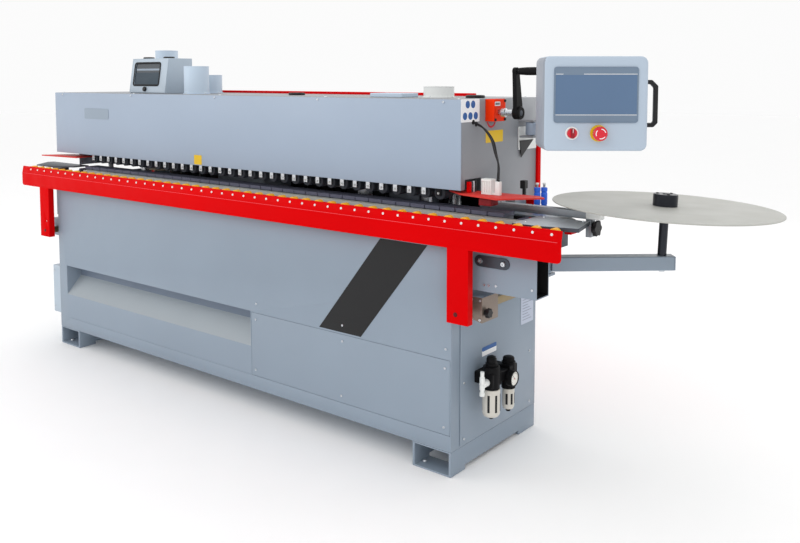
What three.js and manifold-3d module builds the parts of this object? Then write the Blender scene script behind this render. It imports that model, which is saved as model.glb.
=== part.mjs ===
// Edge banding machine: a cabinet base with a pad chain, a closed head that carries the
// pressure beam, and around them the support rail, the panel arm and the edge band disc.
// Millimetres, +Z up. The operator stands at -Y, boards enter at +X and leave at -X.
import * as THREE from 'three'
import { mergeVertices } from 'three/addons/utils/BufferGeometryUtils.js'
import Module from 'manifold-3d'

const wasm = await Module()
wasm.setup()

// ---------------------------------------------------------------- driving dimensions
const GAP = 0.3                 // clearance between pieces that touch
const BASE_LENGTH = 2340
const BASE_DEPTH = 550
const FOOT_HEIGHT = 85
const FOOT_WIDTH = 158
const BASE_TOP = 630
const APRON_TOP = 760
const PASS_LINE = 870           // underside of the board
const BEAM_END = 290            // right end of the table beam
const BEAM_REAR = 108
const CHAIN_Z = 783             // axle height of the two chain wheels
const CHAIN_LEFT = -2280
const CHAIN_RIGHT = 122
const WHEEL_RADIUS = 49.6
const PAD_COUNT = 38            // pads on each straight run
const PAD_FRONT = 115
const PAD_REAR = 185
const HEAD_LEFT = -2470
const HEAD_RIGHT = -20
const HEAD_FRONT = 82
const HEAD_REAR = 574.7
const HEAD_TOP = 1233
const HEAD_BOTTOM = 860
const HOOD_BOTTOM = 935
const SHEET = 4                 // wall of the folded casings
const COLUMNS = [-2150, -250]   // the two lift columns along X
const COLUMN_Y = 380
const ROLLER_PITCH = 62.7
const PRESS_FIRST = -135        // first pressure roller at the infeed end
const PRESS_COUNT = 33
const PRESS_RADIUS = 22
const PRESS_Z = 914
const GUARD_SHEET = 5
const INFEED_GUARD_TOP = 926
const OUTFEED_GUARD_TOP = 920
const RAIL_FIRST = 377          // first support roller at the infeed end
const RAIL_COUNT = 46
const RAIL_RADIUS = 15
const RAIL_Z = PASS_LINE - RAIL_RADIUS
const DEGREE = Math.PI / 180
const CRANK = { y: 256, z: 1187, topY: 240, topZ: 1325 }
const PANEL_YAW = 37.6 * DEGREE
const PANEL = { x: 561.5, y: -163, z: 1235, width: 277, height: 247, depth: 130 }
const ARM_PIVOT = { x: 255, y: 140 }
const DISC = { x: 545, y: 387, z: 898, radius: 350, lean: 2.4 * DEGREE }
const ARM_ANGLE = Math.atan2(DISC.y - ARM_PIVOT.y, DISC.x - ARM_PIVOT.x)
const ARM_REACH = Math.hypot(DISC.y - ARM_PIVOT.y, DISC.x - ARM_PIVOT.x)

// ---------------------------------------------------------------- shape helpers
const axisX = new THREE.Vector3(1, 0, 0)
const axisY = new THREE.Vector3(0, 1, 0)
const axisZ = new THREE.Vector3(0, 0, 1)
const alongX = new THREE.Matrix4().makeBasis(axisY, axisZ, axisX)
const alongY = new THREE.Matrix4().makeBasis(axisX, axisZ, axisY.clone().negate())

function box(x0, x1, y0, y1, z0, z1) {
  const shape = new THREE.BoxGeometry(x1 - x0, y1 - y0, z1 - z0)
  return shape.translate((x0 + x1) / 2, (y0 + y1) / 2, (z0 + z1) / 2)
}

function outline(points) {
  return new THREE.Shape(points.map(([u, v]) => new THREE.Vector2(u, v)))
}

function roundedOutline(u0, u1, v0, v1, r) {
  const shape = new THREE.Shape()
  shape.absarc(u1 - r, v0 + r, r, -Math.PI / 2, 0)
  shape.absarc(u1 - r, v1 - r, r, 0, Math.PI / 2)
  shape.absarc(u0 + r, v1 - r, r, Math.PI / 2, Math.PI)
  shape.absarc(u0 + r, v0 + r, r, Math.PI, Math.PI * 1.5)
  return shape
}

// A flat plate seen from above: points are [x, y].
function plate(points, z0, z1) {
  const shape = new THREE.ExtrudeGeometry(outline(points), { depth: z1 - z0, bevelEnabled: false })
  return shape.translate(0, 0, z0)
}

// A section seen from the end: points are [y, z], the piece runs along X.
function section(points, x0, x1) {
  const shape = new THREE.ExtrudeGeometry(outline(points), { depth: x1 - x0, bevelEnabled: false })
  return shape.applyMatrix4(alongX).translate(x0, 0, 0)
}

// A shape seen from the front in x and z, the piece runs along Y.
function frontal(shape, y0, y1, options = {}) {
  const settings = { depth: y1 - y0, bevelEnabled: false, curveSegments: 4, ...options }
  const solid = new THREE.ExtrudeGeometry(shape, settings)
  return solid.applyMatrix4(alongY).translate(0, y1, 0)
}

// A round bar from one end point along X, Y or Z.
function rod(axis, x, y, z, length, radius, sides = 14) {
  const bar = new THREE.CylinderGeometry(radius, radius, length, sides)
  bar.translate(0, length / 2, 0)
  if (axis === 'x') bar.rotateZ(-Math.PI / 2)
  if (axis === 'z') bar.rotateX(Math.PI / 2)
  return bar.translate(x, y, z)
}

// The tool that cuts a round hole: its flats, not its corners, lie at the radius asked for.
function hole(axis, x, y, z, length, radius, sides = 16) {
  return rod(axis, x, y, z, length, radius / Math.cos(Math.PI / sides), sides)
}

// A turned piece about the vertical: the closed profile holds [radius, z] pairs.
function turned(profile, sides = 18) {
  const points = profile.map(([r, z]) => new THREE.Vector2(r, z))
  return new THREE.LatheGeometry(points, sides).rotateX(Math.PI / 2)
}

// A roller with a bore, standing upright with its lower face at height zero.
function bushedRoller(radius, bore, width, sides = 16) {
  const edge = 1.5
  return turned([
    [bore, 0], [radius - edge, 0], [radius, edge], [radius, width - edge],
    [radius - edge, width], [bore, width], [bore, 0],
  ], sides)
}

function toManifold(shape) {
  const bare = new THREE.BufferGeometry()
  bare.setAttribute('position', shape.getAttribute('position'))
  if (shape.index) bare.setIndex(shape.index)
  const merged = mergeVertices(bare, 1e-4)
  const kept = []
  const index = merged.index.array
  for (let i = 0; i < index.length; i += 3) {
    const [a, b, c] = [index[i], index[i + 1], index[i + 2]]
    if (a !== b && b !== c && a !== c) kept.push(a, b, c)
  }
  return new wasm.Manifold(new wasm.Mesh({
    numProp: 3,
    vertProperties: new Float32Array(merged.getAttribute('position').array),
    triVerts: new Uint32Array(kept),
  }))
}

function toGeometry(manifold) {
  const mesh = manifold.getMesh()
  const indexed = new THREE.BufferGeometry()
  indexed.setAttribute('position', new THREE.BufferAttribute(mesh.vertProperties, 3))
  indexed.setIndex(new THREE.BufferAttribute(mesh.triVerts, 1))
  const flat = indexed.toNonIndexed()
  flat.computeVertexNormals()
  return flat
}

// One solid from pieces that overlap, less the tools that cut it.
function build(pieces, cuts = []) {
  let solid = pieces.map(toManifold).reduce((whole, piece) => whole.add(piece))
  for (const tool of cuts) solid = solid.subtract(toManifold(tool))
  return toGeometry(solid)
}

// ---------------------------------------------------------------- finishes
function finish(color, roughness, metalness = 0) {
  return new THREE.MeshStandardMaterial({ color, roughness, metalness })
}
const greyPaint = finish(0x9aa6b4, 0.5)
const lightPaint = finish(0xb0bcc8, 0.45)
const redPaint = finish(0xe00a14, 0.45)
const steel = finish(0xb4b8bc, 0.35, 0.9)
const darkSteel = finish(0x4a4f57, 0.5, 0.7)
const blackPlastic = finish(0x1c1c1f, 0.5)
const padRubber = finish(0x5c5d70, 0.8)
const yellowPlastic = finish(0xf2b01e, 0.5)
const bluePlastic = finish(0x2f6be0, 0.4)
const orangePlastic = finish(0xe2390f, 0.4)
const redPlastic = finish(0xc81e2c, 0.35)
const clearBowl = finish(0xc9c6bf, 0.3)
const screenGlass = finish(0x667e9a, 0.15)
const discBoard = finish(0xc6c7c2, 0.55)
const cloth = finish(0xd8d2c0, 0.95)

const machine = new THREE.Group()

function part(name, geometry, material, parent = machine) {
  const mesh = new THREE.Mesh(geometry, material)
  mesh.name = name
  parent.add(mesh)
  return mesh
}

// ---------------------------------------------------------------- base cabinet and feet
const frontPanel = { left: -952, right: -4, bottom: 139, top: 391 }
const recess = { left: -2275, right: -956, bottom: 255, fold: 335, top: 394, depth: 75 }
const barTunnels = [-2383, 43]  // middle of each telescopic bar of the rail
const barHalf = 13
const barZ = 560

// The two clamps that the telescopic bars of the rail slide through.
function barBrackets() {
  const blocks = [[-2442, -2335], [-5, 102]].map(([x0, x1]) => box(x0, x1, 22, 118, 528, 610))
  const reach = barHalf + 1
  const tunnels = barTunnels.map((x) => box(x - reach, x + reach, 21, 119, barZ - reach, barZ + reach))
  return { blocks, tunnels }
}

// The hollow inside: above and below the toe recess on the left, full height on the right.
function cabinetHollow() {
  const [left, right, floor, roof] = [-BASE_LENGTH + 10, -10, 95, BASE_TOP - 12]
  const front = 12
  return [
    box(left, right, recess.depth + 8, BASE_DEPTH - 10, floor, roof),
    box(left, -960, front, 90, recess.top + 8, roof),
    box(left, -960, front, 90, floor, recess.bottom - 12),
    box(-948, right, front, 90, floor, roof),
  ]
}

function baseCabinet() {
  const { blocks, tunnels } = barBrackets()
  const hollow = [[-1, recess.bottom - 2], [recess.depth, recess.fold], [recess.depth, recess.top],
    [-1, recess.top]]
  const { left, right, bottom, top } = frontPanel
  return build([
    box(-BASE_LENGTH, 0, 0, BASE_DEPTH, FOOT_HEIGHT + GAP, BASE_TOP),
    box(-BASE_LENGTH, 0, 0, 25, BASE_TOP - 10, APRON_TOP),
    ...blocks,
  ], [
    ...cabinetHollow(),
    box(left + 32, right - 36, -1, 20, bottom + 26, top - 26),
    box(left, right, -1, 3 + GAP, bottom, top),
    box(-21, 1, 75, 500, 115, 500),
    box(-2150, -250, BASE_DEPTH - 11, BASE_DEPTH + 1, 150, 570),
    section(hollow, recess.left, recess.right),
    box(-2244, recess.right, -1, 1.5, 138, 140.5),
    ...tunnels,
  ])
}

// A box channel that a fork-lift tine goes through, cut away below its middle.
function footChannel(left) {
  return build([box(left, left + FOOT_WIDTH, 0, BASE_DEPTH, 0, FOOT_HEIGHT)], [
    box(left + 10, left + FOOT_WIDTH - 10, -1, BASE_DEPTH + 1, 6, FOOT_HEIGHT - 6),
    box(left - 1, left + FOOT_WIDTH + 1, 87, 436, -1, 15),
  ])
}

// A closed box seen from outside; its open side lies against the cabinet's end.
function socketBox() {
  return build([
    box(-2488, -BASE_LENGTH - GAP, 50, 250, 124, 362),
    rod('x', -2512, 110, 215, 30, 16),
  ], [box(-2485, -BASE_LENGTH + 1, 53, 247, 127, 359)])
}

// The electric cabinet stands inside the base and opens to the rear.
function controlCabinet() {
  return build([box(-1850, -1250, 150, 420, 95 + GAP, 560)],
    [box(-1847, -1253, 153, 421, 98 + GAP, 557)])
}

part('base_cabinet', baseCabinet(), greyPaint)
part('foot_channel_left', footChannel(-BASE_LENGTH), greyPaint)
part('foot_channel_right', footChannel(-FOOT_WIDTH), greyPaint)
part('front_service_panel', box(frontPanel.left + 1, frontPanel.right - 1, 0, 3,
  frontPanel.bottom + 1, frontPanel.top - 1), greyPaint)
part('end_service_panel', box(GAP, 3 + GAP, 49, 525, 92, 520), greyPaint)
part('rear_service_panel', box(-2210, -190, 550 + GAP, 553 + GAP, 110, 575), greyPaint)
part('socket_box', socketBox(), lightPaint)
part('control_cabinet', controlCabinet(), lightPaint)

// ---------------------------------------------------------------- table beam and chain
function tableBeam() {
  const lugs = [684, 752].map((z) => box(230, 280, BEAM_REAR - SHEET, 168, z, z + 8))
  return build([
    build([box(-2400, BEAM_END, 30, BEAM_REAR, BASE_TOP + GAP, 838)], [
      box(-2396, BEAM_END + 1, 34, BEAM_REAR - SHEET, BASE_TOP + 4, 834),
    ]),
    ...lugs,
    rod('z', ARM_PIVOT.x, ARM_PIVOT.y, 684, 76, 8),
  ])
}

// The endless chain: a band round both wheels with a pad on every link.
function conveyorChain() {
  const inner = 50
  const outer = 62
  const padTop = PASS_LINE - CHAIN_Z
  const track = (r) => {
    const shape = new THREE.Shape()
    shape.absarc(CHAIN_RIGHT, CHAIN_Z, r, -Math.PI / 2, Math.PI / 2)
    shape.absarc(CHAIN_LEFT, CHAIN_Z, r, Math.PI / 2, Math.PI * 1.5)
    return shape
  }
  const band = track(outer)
  band.holes.push(track(inner))
  const pitch = (CHAIN_RIGHT - CHAIN_LEFT) / PAD_COUNT
  const pads = []
  for (let i = 0; i < PAD_COUNT; i += 1) {
    const x = CHAIN_LEFT + pitch * i
    for (const [z0, z1] of [[outer - 1, padTop], [-padTop, 1 - outer]]) {
      pads.push(box(x + 1.5, x + pitch - 1.5, PAD_FRONT, PAD_REAR, CHAIN_Z + z0, CHAIN_Z + z1))
    }
  }
  for (const [x, side] of [[CHAIN_RIGHT, -1], [CHAIN_LEFT, 1]]) {
    for (const turn of [50, 90, 130]) {
      const pad = box(-27, 27, PAD_FRONT, PAD_REAR, outer - 4, padTop - 1)
      pads.push(pad.rotateY(-side * turn * DEGREE).translate(x, 0, CHAIN_Z))
    }
  }
  return build([frontal(band, PAD_FRONT, PAD_REAR, { curveSegments: 8 }), ...pads])
}

// The channel that carries the upper run, open below.
function conveyorTrack() {
  return build([box(-2215, 15, BEAM_REAR + GAP, 190, 740, 832.7)],
    [box(-2216, 16, BEAM_REAR + 10, 180, 739, 823)])
}

// A chain wheel on its shaft, turning about Y.
function chainWheel(x, shaftEnd) {
  const wheel = new THREE.LatheGeometry([
    [0, 109], [12, 109], [12, 130], [WHEEL_RADIUS, 130], [WHEEL_RADIUS, 170],
    [20, 170], [20, 186], [12, 186], [12, shaftEnd], [0, shaftEnd],
  ].map(([r, y]) => new THREE.Vector2(r, y)), 20)
  return wheel.translate(x, 0, CHAIN_Z)
}

function driveMotor() {
  return build([
    box(-2335, -2225, 225 + GAP, 300, 728, 838),
    rod('y', CHAIN_LEFT, 299, CHAIN_Z, 170, 48, 24),
    box(-2320, -2240, 230, 440, BASE_TOP + GAP, 745),
  ])
}

function infeedTable() {
  const top = [[212, 14], [300, 14], [419, 46], [388, 182], [212, 182]]
  return build([plate(top, 850, 863), box(BEAM_END + GAP, 360, 32, 95, 798, 851)])
}

function outfeedPlate() {
  const top = [[-2372, 112], [-2372, 192], [-2700, 192], [-2712, 165], [-2618, 50], [-2480, 50]]
  return build([plate(top, 858, 863), box(-2470, -2400 - GAP, 52, 100, 798, 859)])
}

part('table_beam', tableBeam(), greyPaint)
part('conveyor_track', conveyorTrack(), darkSteel)
part('conveyor_chain', conveyorChain(), padRubber)
part('drive_sprocket', chainWheel(CHAIN_LEFT, 225), darkSteel)
part('idler_sprocket', chainWheel(CHAIN_RIGHT, 200), darkSteel)
part('drive_motor', driveMotor(), greyPaint)
part('infeed_table', infeedTable(), steel)
part('outfeed_plate', outfeedPlate(), darkSteel)

// ---------------------------------------------------------------- rear frame and head
function rearFrame() {
  const blocks = [[-2390, -2300], [-1230, -1110], [-110, -20]]
    .map(([x0, x1]) => box(x0, x1, BASE_DEPTH + GAP, 576, 585, 625))
  return build([box(-2400, -12, 575, 600, 560, 1244), ...blocks], [
    box(-2150, -1300, 570, 605, 650, 750),
    box(-1100, -250, 570, 605, 650, 750),
    box(-300, 0, 570, 605, 1226, 1250),
    box(-26, 0, 570, 605, 1140, 1250),
  ])
}

const dustPorts = [[-1576, 250, 1357], [-2060, 450, 1442], [-1700, 430, 1319], [-267, 300, 1273]]

function headCasing() {
  const spigots = dustPorts.map(([x, y, top]) => rod('z', x, y, HEAD_TOP - 3, top - HEAD_TOP + 3, 55, 20))
  const bores = dustPorts.map(([x, y]) => rod('z', x, y, HEAD_TOP - 10, 300, 52, 20))
  const lugs = [1090, 1148].map((z) => box(HEAD_RIGHT - 2, 40, 446, 494, z, z + 7))
  return build([
    build([box(HEAD_LEFT, HEAD_RIGHT, HEAD_FRONT, HEAD_REAR, HEAD_BOTTOM, HEAD_TOP)], [
      box(HEAD_LEFT + SHEET, HEAD_RIGHT - SHEET, HEAD_FRONT - 1, HEAD_REAR - SHEET,
        HEAD_BOTTOM - 1, HEAD_TOP - SHEET),
      box(HEAD_LEFT - 1, HEAD_RIGHT + 1, HEAD_FRONT - 1, 105, HEAD_BOTTOM - 1, HOOD_BOTTOM),
      box(HEAD_LEFT - 1, HEAD_RIGHT + 1, 104, 200, HEAD_BOTTOM - 1, 968),
    ]),
    ...spigots, ...lugs,
    rod('z', 20, 470, 1090, 65, 8),
  ], bores)
}

function liftColumn(x) {
  const bottom = BASE_TOP + GAP
  const column = turned([[0, bottom], [45, bottom], [45, 645], [25, 645], [25, 1215], [0, 1215]])
  return column.translate(x, COLUMN_Y, 0)
}

// The instrument box leans back; its front is a door with a window.
const boxLeft = -2014
const boxRight = -1738
const boxFloor = HEAD_TOP + GAP
const boxTop = 1396
const boxFront = 200
const boxLean = Math.atan2(26, boxTop - boxFloor)

function instrumentBox() {
  const hollow = [[boxFront - 20, boxFloor + SHEET], [351, boxFloor + SHEET],
    [351, boxTop - SHEET], [boxFront - 20, boxTop - SHEET]]
  return build(
    [section([[boxFront, boxFloor], [355, boxFloor], [355, boxTop], [boxFront + 26, boxTop]],
      boxLeft, boxRight)],
    [section(hollow, boxLeft + SHEET, boxRight - SHEET)])
}

function boxDoor() {
  return build([box(boxLeft + 1, boxRight - 1, -4.3, -0.4, -162, -1)], [
    frontal(roundedOutline(boxLeft + 29, boxRight - 57, -125, -25, 12), -6, 2),
  ])
}

part('rear_frame', rearFrame(), redPaint)
part('head_casing', headCasing(), greyPaint)
part('front_hood', box(HEAD_LEFT, HEAD_RIGHT, 78, 81.7, HOOD_BOTTOM, HEAD_TOP - 0.5), lightPaint)
part('lift_column_left', liftColumn(COLUMNS[0]), steel)
part('lift_column_right', liftColumn(COLUMNS[1]), steel)
part('instrument_box', instrumentBox(), lightPaint)
const door = part('box_door', boxDoor(), lightPaint)
door.position.set(0, boxFront + 26, boxTop)
door.rotation.x = -boxLean

// ---------------------------------------------------------------- pressure beam
function pressureBeam() {
  const infeedGuard = [[-110, 140], [-20, 78], [139, 45], [243, 160], [212, 186], [90, 178],
    [-110, 175]]
  const outfeedGuard = [[-2262, 60], [-2262, 175], [-2440, 150], [-2500, 69], [-2530, 30], [-2400, 44]]
  const arms = COLUMNS.map((x) => box(x - 35, x + 35, 110, COLUMN_Y, 1039, 1080))
  const sleeves = COLUMNS.map((x) => rod('z', x, COLUMN_Y, 1010, 100, 40))
  const bores = COLUMNS.map((x) => hole('z', x, COLUMN_Y, 1000, 120, 25.6))
  const cheeks = [114, 180].map((y) => box(PRESS_FIRST - 8, PRESS_FIRST + 8, y, y + 6, PRESS_Z - 9, 961))
  return build([
    build([box(-2300, -70, 105, 190, 960, 1040)], [box(-2301, -69, 111, 184, 966, 1034)]),
    plate(infeedGuard, INFEED_GUARD_TOP - GUARD_SHEET, INFEED_GUARD_TOP),
    box(-110, -80, 145, 175, INFEED_GUARD_TOP - 1, 961),
    plate(outfeedGuard, OUTFEED_GUARD_TOP - GUARD_SHEET, OUTFEED_GUARD_TOP),
    box(-2292, -2261, 145, 175, OUTFEED_GUARD_TOP - GUARD_SHEET, 961),
    ...arms, ...sleeves, ...cheeks,
    rod('y', PRESS_FIRST, 114, PRESS_Z, 72, 4, 12),
  ], bores)
}

// Every pressure roller but the first, held in line by one carrier strip.
function pressureRollers() {
  const row = []
  for (let i = 1; i <= PRESS_COUNT; i += 1) {
    row.push(rod('y', PRESS_FIRST - ROLLER_PITCH * i, 122, PRESS_Z, 56, PRESS_RADIUS, 8))
  }
  const last = PRESS_FIRST - ROLLER_PITCH * PRESS_COUNT
  return build([box(last, PRESS_FIRST - ROLLER_PITCH, 147, 153, PRESS_Z - 4, PRESS_Z + 4), ...row])
}

function clampCylinder() {
  return build([
    box(40, 78, 108, 136, INFEED_GUARD_TOP + GAP, 977),
    box(77, 107, 112, 126, INFEED_GUARD_TOP + GAP, 934),
    box(90, 107, 112, 126, 933, 971),
    rod('z', 94, 121.5, 970, 8, 3.6, 12),
    rod('z', 101.5, 116.5, 970, 8, 3.4, 12),
  ])
}

// An air tube along a smooth curve through its points.
function tube(points, radius, steps) {
  const path = new THREE.CatmullRomCurve3(points.map((p) => new THREE.Vector3(...p)))
  const ring = new THREE.Shape().absarc(0, 0, radius, 0, Math.PI * 2)
  return new THREE.ExtrudeGeometry(ring, {
    extrudePath: path, steps, bevelEnabled: false, curveSegments: 4,
  })
}

part('pressure_beam', pressureBeam(), redPaint)
part('pressure_rollers', pressureRollers(), darkSteel)
const pressRoller = part('pressure_roller_infeed',
  bushedRoller(PRESS_RADIUS, 4.6, 56, 24).rotateX(-Math.PI / 2), darkSteel)
pressRoller.position.set(PRESS_FIRST, 122, PRESS_Z)
part('clamp_cylinder', clampCylinder(), lightPaint)
part('air_tube_1', tube([[-18, 150, 1157], [16, 150, 1142], [52, 146, 1104], [74, 136, 1060],
  [96, 124, 1022], [101.5, 116.5, 980]], 3, 12), blackPlastic)
part('air_tube_2', tube([[-18, 168, 1150], [16, 170, 1132], [48, 168, 1096], [66, 158, 1056],
  [86, 138, 1022], [94, 121.5, 980]], 3, 12), blackPlastic)

// ---------------------------------------------------------------- height crank
function positionIndicator() {
  return build([box(HEAD_RIGHT + GAP, 16, 223, 296, 1157, 1232)],
    [hole('x', -30, CRANK.y, CRANK.z, 60, 9)])
}

function heightCrank() {
  const arm = [[CRANK.y - 19, CRANK.z], [CRANK.y + 19, CRANK.z],
    [CRANK.topY + 11, CRANK.topZ], [CRANK.topY - 11, CRANK.topZ]]
  return build([
    rod('x', -15, CRANK.y, CRANK.z, 95, 8),
    rod('x', 20, CRANK.y, CRANK.z, 22, 15),
    rod('x', 75, CRANK.y, CRANK.z, 27, 22, 24),
    section(arm, 80, 96),
    rod('x', 80, CRANK.topY, CRANK.topZ, 16, 13),
    rod('x', 95, CRANK.topY, CRANK.topZ, 97, 5, 12),
  ])
}

function crankGrip() {
  const grip = turned([[5.6, 0], [11, 0], [13, 20], [13.5, 60], [11, 88], [5.6, 88], [5.6, 0]])
  return grip.rotateY(Math.PI / 2)
}

part('position_indicator', positionIndicator(), orangePlastic)
part('height_crank', heightCrank(), blackPlastic)
const grip = part('crank_grip', crankGrip(), blackPlastic)
grip.position.set(100, CRANK.topY, CRANK.topZ)

// ---------------------------------------------------------------- working units in the head
const glueRoller = { x: -262, y: 222 }
const bandRoller = { x: -560, y: 232 }
const buff = { x: -1925, y: 310 }

function glueUnit() {
  return build([
    box(-430, -290, 215, 335, BASE_TOP + GAP, 900),
    rod('z', -360, 275, 899, 121, 50, 24),
    box(-300, -245, 205, 240, 830, 840),
    rod('z', glueRoller.x, glueRoller.y, 839, 76, 5, 12),
    box(-600, -420, 218, 300, BASE_TOP + GAP, 830),
    rod('z', bandRoller.x, bandRoller.y, 829, 91, 6, 12),
  ])
}

function trimUnit() {
  const motors = [-1400, -1220].map((x) => rod('z', x, 320, 879, 130, 38))
  return build([
    box(-1500, -1100, 215, 450, BASE_TOP + GAP, 700),
    box(-1450, -1150, 260, 420, 699, 880),
    ...motors,
  ])
}

function buffingUnit() {
  return build([
    box(-2000, -1850, 250, 400, BASE_TOP + GAP, 800),
    rod('z', buff.x, buff.y, 799, 56, 40),
    rod('z', buff.x, buff.y, 854, 64, 8, 12),
  ])
}

function standing(name, shape, x, y, z, material) {
  part(name, shape, material).position.set(x, y, z)
}

part('glue_unit', glueUnit(), darkSteel)
standing('glue_roller', bushedRoller(19, 5.6, 60), glueRoller.x, glueRoller.y, 845, steel)
standing('press_roller', bushedRoller(28, 6.6, 66, 24), bandRoller.x, bandRoller.y, 842, steel)
part('trim_unit', trimUnit(), darkSteel)
part('buffing_unit', buffingUnit(), greyPaint)
standing('buffing_wheel', bushedRoller(62, 8.6, 42, 28), buff.x, buff.y, 862, cloth)

// ---------------------------------------------------------------- band guide and fence
const guidePins = [['guide_roller_front', 112, 350], ['guide_roller_rear', 130, 366]]
const fenceRod = { x: 60, z: 880 }

function bandGuideBracket() {
  return build([
    plate([[-60, 228], [330, 228], [168, 390], [-60, 390]], 846, 852),
    box(-60, -30, 330, 380, BASE_TOP + GAP, 847),
    box(42, 78, 258, 330, 846, 894),
    ...guidePins.map(([, x, y]) => rod('z', x, y, 851, 89, 4, 12)),
  ], [hole('y', fenceRod.x, 250, fenceRod.z, 90, 5.7)])
}

function infeedFence() {
  return build([
    box(-15, 420, 187, 217, 868, 892),
    box(372, 390, 187, 217, 812, 869),
    rod('y', fenceRod.x, 216, fenceRod.z, 100, 5, 12),
  ])
}

part('band_guide_bracket', bandGuideBracket(), steel)
for (const [name, x, y] of guidePins) standing(name, bushedRoller(11, 4.6, 77), x, y, 853, bluePlastic)
part('infeed_fence', infeedFence(), steel)
part('fence_knob', rod('x', 390 + GAP, 202, 840, 18, 26, 24), blackPlastic)

// ---------------------------------------------------------------- air service unit
const airX = 60
const oilerY = 148
const filterY = 258

function frlBody() {
  return build([
    box(3 + 2 * GAP, 40, 130, 270, 285, 325),
    box(38, 82, 120, 280, 282, 330),
    rod('z', airX, oilerY, 273 + GAP, 77, 28),
    rod('z', airX, oilerY, 349, 34, 14),
    rod('z', airX, filterY, 244 + GAP, 93, 24),
    rod('x', 80, 228, 292, 24, 27, 24),
    rod('y', airX, 92, 300, 40, 12),
    rod('z', airX, 92, 262, 82, 9, 14),
  ])
}

function bowl(y, radius, bottom, top) {
  const shell = turned([
    [0, bottom - 8], [8, bottom - 8], [8, bottom], [radius - 6, bottom], [radius, bottom + 8],
    [radius, top], [0, top],
  ])
  return shell.translate(airX, y, 0)
}

part('frl_body', frlBody(), blackPlastic)
part('frl_bowl_large', bowl(oilerY, 30, 178, 273), clearBowl)
part('frl_bowl_small', bowl(filterY, 21, 170, 244), clearBowl)
standing('regulator_knob', turned([[0, 0], [20, 0], [20, 12], [16, 16], [0, 16]]),
  airX, filterY, 337.3 + GAP, blackPlastic)

// ---------------------------------------------------------------- operator panel
const swivel = { x: 20, y: 470 }
const tilt = { x: 455, y: -20 }

function hmiArm() {
  const beam = [[20, 452.5], [385, 452.5], [440, -20], [470, -20], [418, 487.5], [20, 487.5]]
  return build([
    plate(beam, 1105, 1140),
    rod('z', swivel.x, swivel.y, 1100, 45, 22, 24),
    rod('z', tilt.x, tilt.y, 1104, 37, 20, 24),
    rod('z', tilt.x, tilt.y, 1104, 151, 14),
    rod('z', tilt.x, tilt.y, 1205, 17, 20),
  ], [hole('z', swivel.x, swivel.y, 1095, 60, 8.6)])
}

const panel = new THREE.Group()
panel.position.set(PANEL.x, PANEL.y, PANEL.z)
panel.rotation.z = PANEL_YAW
machine.add(panel)
const lug = new THREE.Vector3(tilt.x, tilt.y, PANEL.z)
panel.updateMatrixWorld(true)
panel.worldToLocal(lug)
const buttonZ = -76.5
const estopX = 10
const selectorX = -59

function hmiHousing() {
  const edge = 10
  const face = roundedOutline(-PANEL.width / 2 + edge, PANEL.width / 2 - edge,
    -PANEL.height / 2 + edge, PANEL.height / 2 - edge, 8)
  const shell = frontal(face, edge, PANEL.depth - edge,
    { bevelEnabled: true, bevelThickness: edge, bevelSize: edge, bevelSegments: 1 })
  return build([
    shell,
    box(lug.x - 20, lug.x + 20, PANEL.depth - 1, lug.y, -12, 12),
    rod('z', lug.x, lug.y, -12, 24, 27, 24),
  ], [
    box(-125, 125, 6, PANEL.depth - 8, -110, 110),
    box(-100, 105, -1, 7, -43, 89),
    hole('z', lug.x, lug.y, -20, 40, 14.6),
    hole('y', estopX, -1, buttonZ, 26, 10),
    hole('y', selectorX, -1, buttonZ, 26, 10),
  ])
}

// A push or turn button seen from the front: the profile holds [radius, depth] pairs.
function button(x, profile) {
  const shape = new THREE.LatheGeometry(profile.map(([r, y]) => new THREE.Vector2(r, y)), 24)
  return shape.translate(x, 0, buttonZ)
}

function selectorSwitch() {
  const body = button(selectorX, [[0, -10], [14, -10], [15, -3], [9, -3], [9, 12], [0, 12]])
  return build([body, box(selectorX - 4, selectorX + 4, -20, -9, buttonZ - 13, buttonZ + 13)])
}

function hmiHandle() {
  const side = PANEL.width / 2 + 1
  const reach = side + 34
  return tube([[side, 62, 56], [side + 12, 62, 55], [reach, 62, 44], [reach, 62, 0],
    [reach, 62, -46], [side + 12, 62, -57], [side, 62, -58]], 6.5, 16)
}

part('hmi_arm', hmiArm(), lightPaint)
part('hmi_housing', hmiHousing(), lightPaint, panel)
part('hmi_screen', frontal(roundedOutline(-107, 112, -49.5, 96, 6), -3.3, -GAP), screenGlass, panel)
part('estop_button', button(estopX,
  [[0, -32], [14, -31], [20, -27], [21, -20], [18, -14], [9, -12], [9, 12], [0, 12]]), redPlastic, panel)
part('selector_switch', selectorSwitch(), redPlastic, panel)
part('hmi_handle', hmiHandle(), blackPlastic, panel)

// ---------------------------------------------------------------- edge band disc
// The arm's post carries the disc; it leans outwards a little under the load.
function discArm() {
  const drop = DISC.z - 744
  const post = (radius, height, length) => rod('z', 0, 0, height, length, radius)
    .rotateY(DISC.lean).translate(ARM_REACH, 0, DISC.z)
  return build([
    box(0, ARM_REACH + 30, -25, 25, 700, 745),
    rod('z', 0, 0, 695, 54, 25, 24),
    post(14, -drop, drop - 14),
    post(9, -15, 59),
  ], [hole('z', 0, 0, 690, 64, 8.6)]).rotateZ(ARM_ANGLE).translate(ARM_PIVOT.x, ARM_PIVOT.y, 0)
}

function bandDisc() {
  const bore = 9.6
  return turned([
    [bore, -12], [30, -12], [30, 0], [DISC.radius, 0], [DISC.radius, 4],
    [38, 4], [38, 42], [bore, 42], [bore, -12],
  ], 48)
}

part('disc_arm', discArm(), greyPaint)
const disc = part('band_disc', bandDisc(), discBoard)
disc.position.set(DISC.x, DISC.y, DISC.z)
disc.rotation.set(0, DISC.lean, ARM_ANGLE, 'ZYX')

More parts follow.
